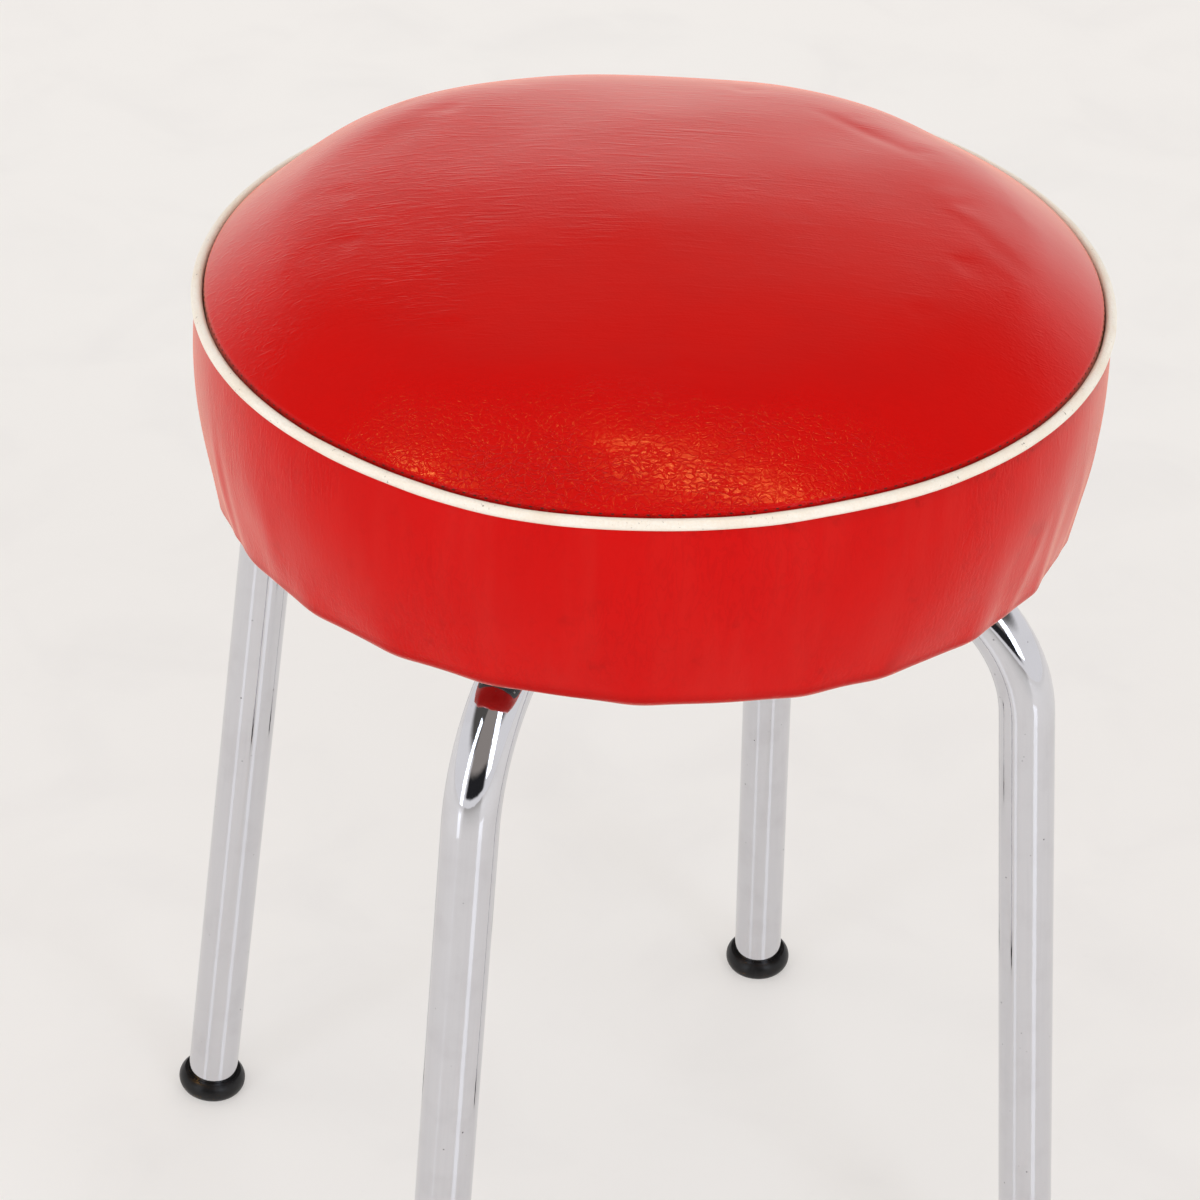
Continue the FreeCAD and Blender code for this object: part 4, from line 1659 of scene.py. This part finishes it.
@dataclass
class Underside:
    """Seat board, its fasteners and the dust cover."""

    cloth_radius: float = 0.152
    cloth_thickness: float = 0.0004
    cloth_cells: int = 72
    sag: float = 0.0001
    pull_start: float = 0.125
    staple_count: int = 12
    staple_heading: float = 15.0
    steel_nodes: Sequence[str] = ("tee_nuts", "cover_staples", "dust_cover_staples", "saddle_washers",
                                  "frame_screws")

    def build(self) -> None:
        """Dresses the board and fasteners, and makes the cloth."""
        recoat(Plywood("plywood_board"), "seat_board")
        recoat(Steel("zinc_steel_fasteners"), *self.steel_nodes)
        cloth = Fibre("dust_cloth_black", colour=srgb(46, 46, 50), shade=srgb(16, 16, 18), pitch=0.7)
        piece = dress(self.dust_cover(), cloth, Slot.DUST_CLOTH, "dust_cover")

    def dust_cover(self) -> bpy.types.Object:
        """Black cloth disc, stretched between its staples, with its thickness upwards.

        Returns:
            The cloth.
        """
        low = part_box("dust_cover")[0].z
        flat, quads, _ = disc_lattice(self.cloth_cells)
        plan = flat * self.cloth_radius
        angle = np.arctan2(plan[:, 1], plan[:, 0]) - math.radians(self.staple_heading)
        edge = np.linalg.norm(plan, axis=1) - self.pull_start
        edge = np.clip(edge / (self.cloth_radius - self.pull_start), 0, 1)
        pull = 0.5 + 0.5 * np.cos(angle * self.staple_count)
        height = low + self.sag + edge * pull * self.sag
        cloth = new_object("dust_cover_cloth", np.column_stack([plan, height]), quads[:, ::-1])
        return thicken(cloth, self.cloth_thickness)


@dataclass
class LegFrame:
    """Bent chrome tubes and their welds."""

    nodes: Sequence[str] = ("front_back_tube", "right_tube", "left_tube", "frame_welds")

    def build(self) -> None:
        """Dresses the tubes and welds."""
        recoat(Chrome("chrome_polished"), *self.nodes)


@dataclass
class RubberFeet:
    """Four moulded feet."""

    nodes: Sequence[str] = ("foot_front", "foot_right", "foot_back", "foot_left")

    def build(self) -> None:
        """Dresses the feet."""
        recoat(Rubber("black_rubber_feet"), *self.nodes)


@dataclass(frozen=True)
class Lamp:
    """Area lamp whose place and target are given from the camera's heading. Metres.

    Its radiance is how bright its face is, where 1 is white. A lamp may be kept out of the light
    on matt surfaces, or out of reflections.
    """

    name: str
    place: Triple
    size: Pair
    radiance: float
    colour: Colour = srgb(255, 252, 248)
    target: Triple = (0.0, 0.0, 0.45)
    diffuse: bool = True
    glossy: bool = True

    def hang(self, turn: Matrix) -> None:
        """Makes the lamp, with its place and target turned.

        Args:
            turn: Turn to the camera's heading.
        """
        data = bpy.data.lights.new(self.name, "AREA")
        data.shape = "RECTANGLE"
        data.size, data.size_y = self.size
        data.energy = self.radiance * math.pi * self.size[0] * self.size[1]
        data.color = self.colour[:3]
        lamp = add_object(self.name, data)
        lamp.location = turn @ Vector(self.place)
        facing = turn @ Vector(self.target) - turn @ Vector(self.place)
        lamp.rotation_euler = facing.to_track_quat("-Z", "Y").to_euler()
        lamp.visible_camera = False
        lamp.visible_diffuse = self.diffuse
        lamp.visible_glossy = self.glossy


@dataclass
class Studio:
    """Floor, soft light, and the camera at the photograph's place. Its small angles are radians."""

    image_size: float = 1200.0
    camera_distance: float = 1.3555
    camera_height: float = 1.1528
    heading_degrees: float = 20.26
    yaw: float = -0.0109
    pitch: float = 0.5546
    roll: float = 0.0485
    focal_pixels: float = 3969.2
    sensor: float = 36.0
    clip: Pair = (0.05, 50.0)
    floor_side: float = 9.0
    day: Colour = srgb(232, 241, 255)
    warm: Colour = srgb(255, 190, 100)

    def build(self) -> None:
        """Makes the floor, the world, the lamps and the camera."""
        turn = Matrix.Rotation(math.radians(self.heading_degrees), 3, "Z")
        self.floor()
        world = bpy.data.worlds.new("studio_world")
        bpy.context.scene.world = world
        world.use_nodes = True
        Room().lay(Paint(world.node_tree), self.heading_degrees)
        for lamp in self.lamps():
            lamp.hang(turn)
        self.camera(turn)

    def floor(self) -> None:
        """Large plain floor."""
        corners = np.array([(-1, -1, 0), (1, -1, 0), (1, 1, 0), (-1, 1, 0)])
        floor = new_object("studio_floor", corners * (self.floor_side / 2), np.array([(0, 1, 2, 3)]))
        floor.data.materials.append(StudioFloor("studio_floor_paint").material())

    def lamps(self) -> Sequence[Lamp]:
        """Wide soft key and fills, two tall windows behind the camera and warm lamps overhead.

        Returns:
            The lamps.
        """
        return (
            Lamp("soft_key", (-0.3, -2.4, 2.2), (2.2, 2.0), 0.70, glossy=False),
            Lamp("soft_back", (0.0, 2.6, 1.5), (2.4, 1.6), 0.9, glossy=False),
            Lamp("soft_left", (-2.6, 0.5, 0.9), (1.6, 1.4), 1.2, glossy=False),
            Lamp("soft_right", (2.6, 0.5, 0.9), (1.6, 1.4), 0.7, glossy=False),
            Lamp("window_left", (-1.67, -1.86, 1.3), (0.5, 2.5), 2.6, self.day),
            Lamp("window_right", (1.5, -2.0, 1.6), (0.7, 2.2), 3.0, self.day),
            Lamp("lamp_left", (-1.45, -0.65, 2.4), (0.5, 0.16), 80.0, self.warm, diffuse=False),
            Lamp("lamp_strip", (0.35, -0.6, 2.4), (1.3, 0.12), 70.0, self.warm, (0.35, -0.6, 0.0),
                 diffuse=False),
        )

    def camera(self, turn: Matrix) -> None:
        """Camera whose place and lens were worked out from the photograph, turned to its heading.

        Args:
            turn: Turn to its heading.
        """
        level = math.cos(self.pitch)
        forward = turn @ Vector((math.sin(self.yaw) * level, math.cos(self.yaw) * level,
                                 -math.sin(self.pitch)))
        right = turn @ Vector((math.cos(self.yaw), -math.sin(self.yaw), 0))
        up = right.cross(forward)
        across = math.cos(self.roll) * right + math.sin(self.roll) * up
        above = -math.sin(self.roll) * right + math.cos(self.roll) * up
        data = bpy.data.cameras.new("photo_camera")
        data.sensor_width = self.sensor
        data.lens = self.focal_pixels * self.sensor / self.image_size
        data.clip_start, data.clip_end = self.clip
        camera = add_object("photo_camera", data)
        place = turn @ Vector((0, -self.camera_distance, self.camera_height))
        facing = Matrix((across, above, -forward)).transposed().to_4x4()
        camera.matrix_world = Matrix.Translation(place) @ facing
        bpy.context.scene.camera = camera
        bpy.context.scene.view_settings.view_transform = "Standard"


def main() -> None:
    """Builds the studio and dresses the stool, sub-assembly by sub-assembly."""
    logging.basicConfig(level=logging.INFO, format="%(name)s: %(message)s")
    Studio().build()
    PaddedSeat(SeatForm.from_frame()).build()
    Underside().build()
    LegFrame().build()
    RubberFeet().build()


if __name__ == "__main__":
    main()
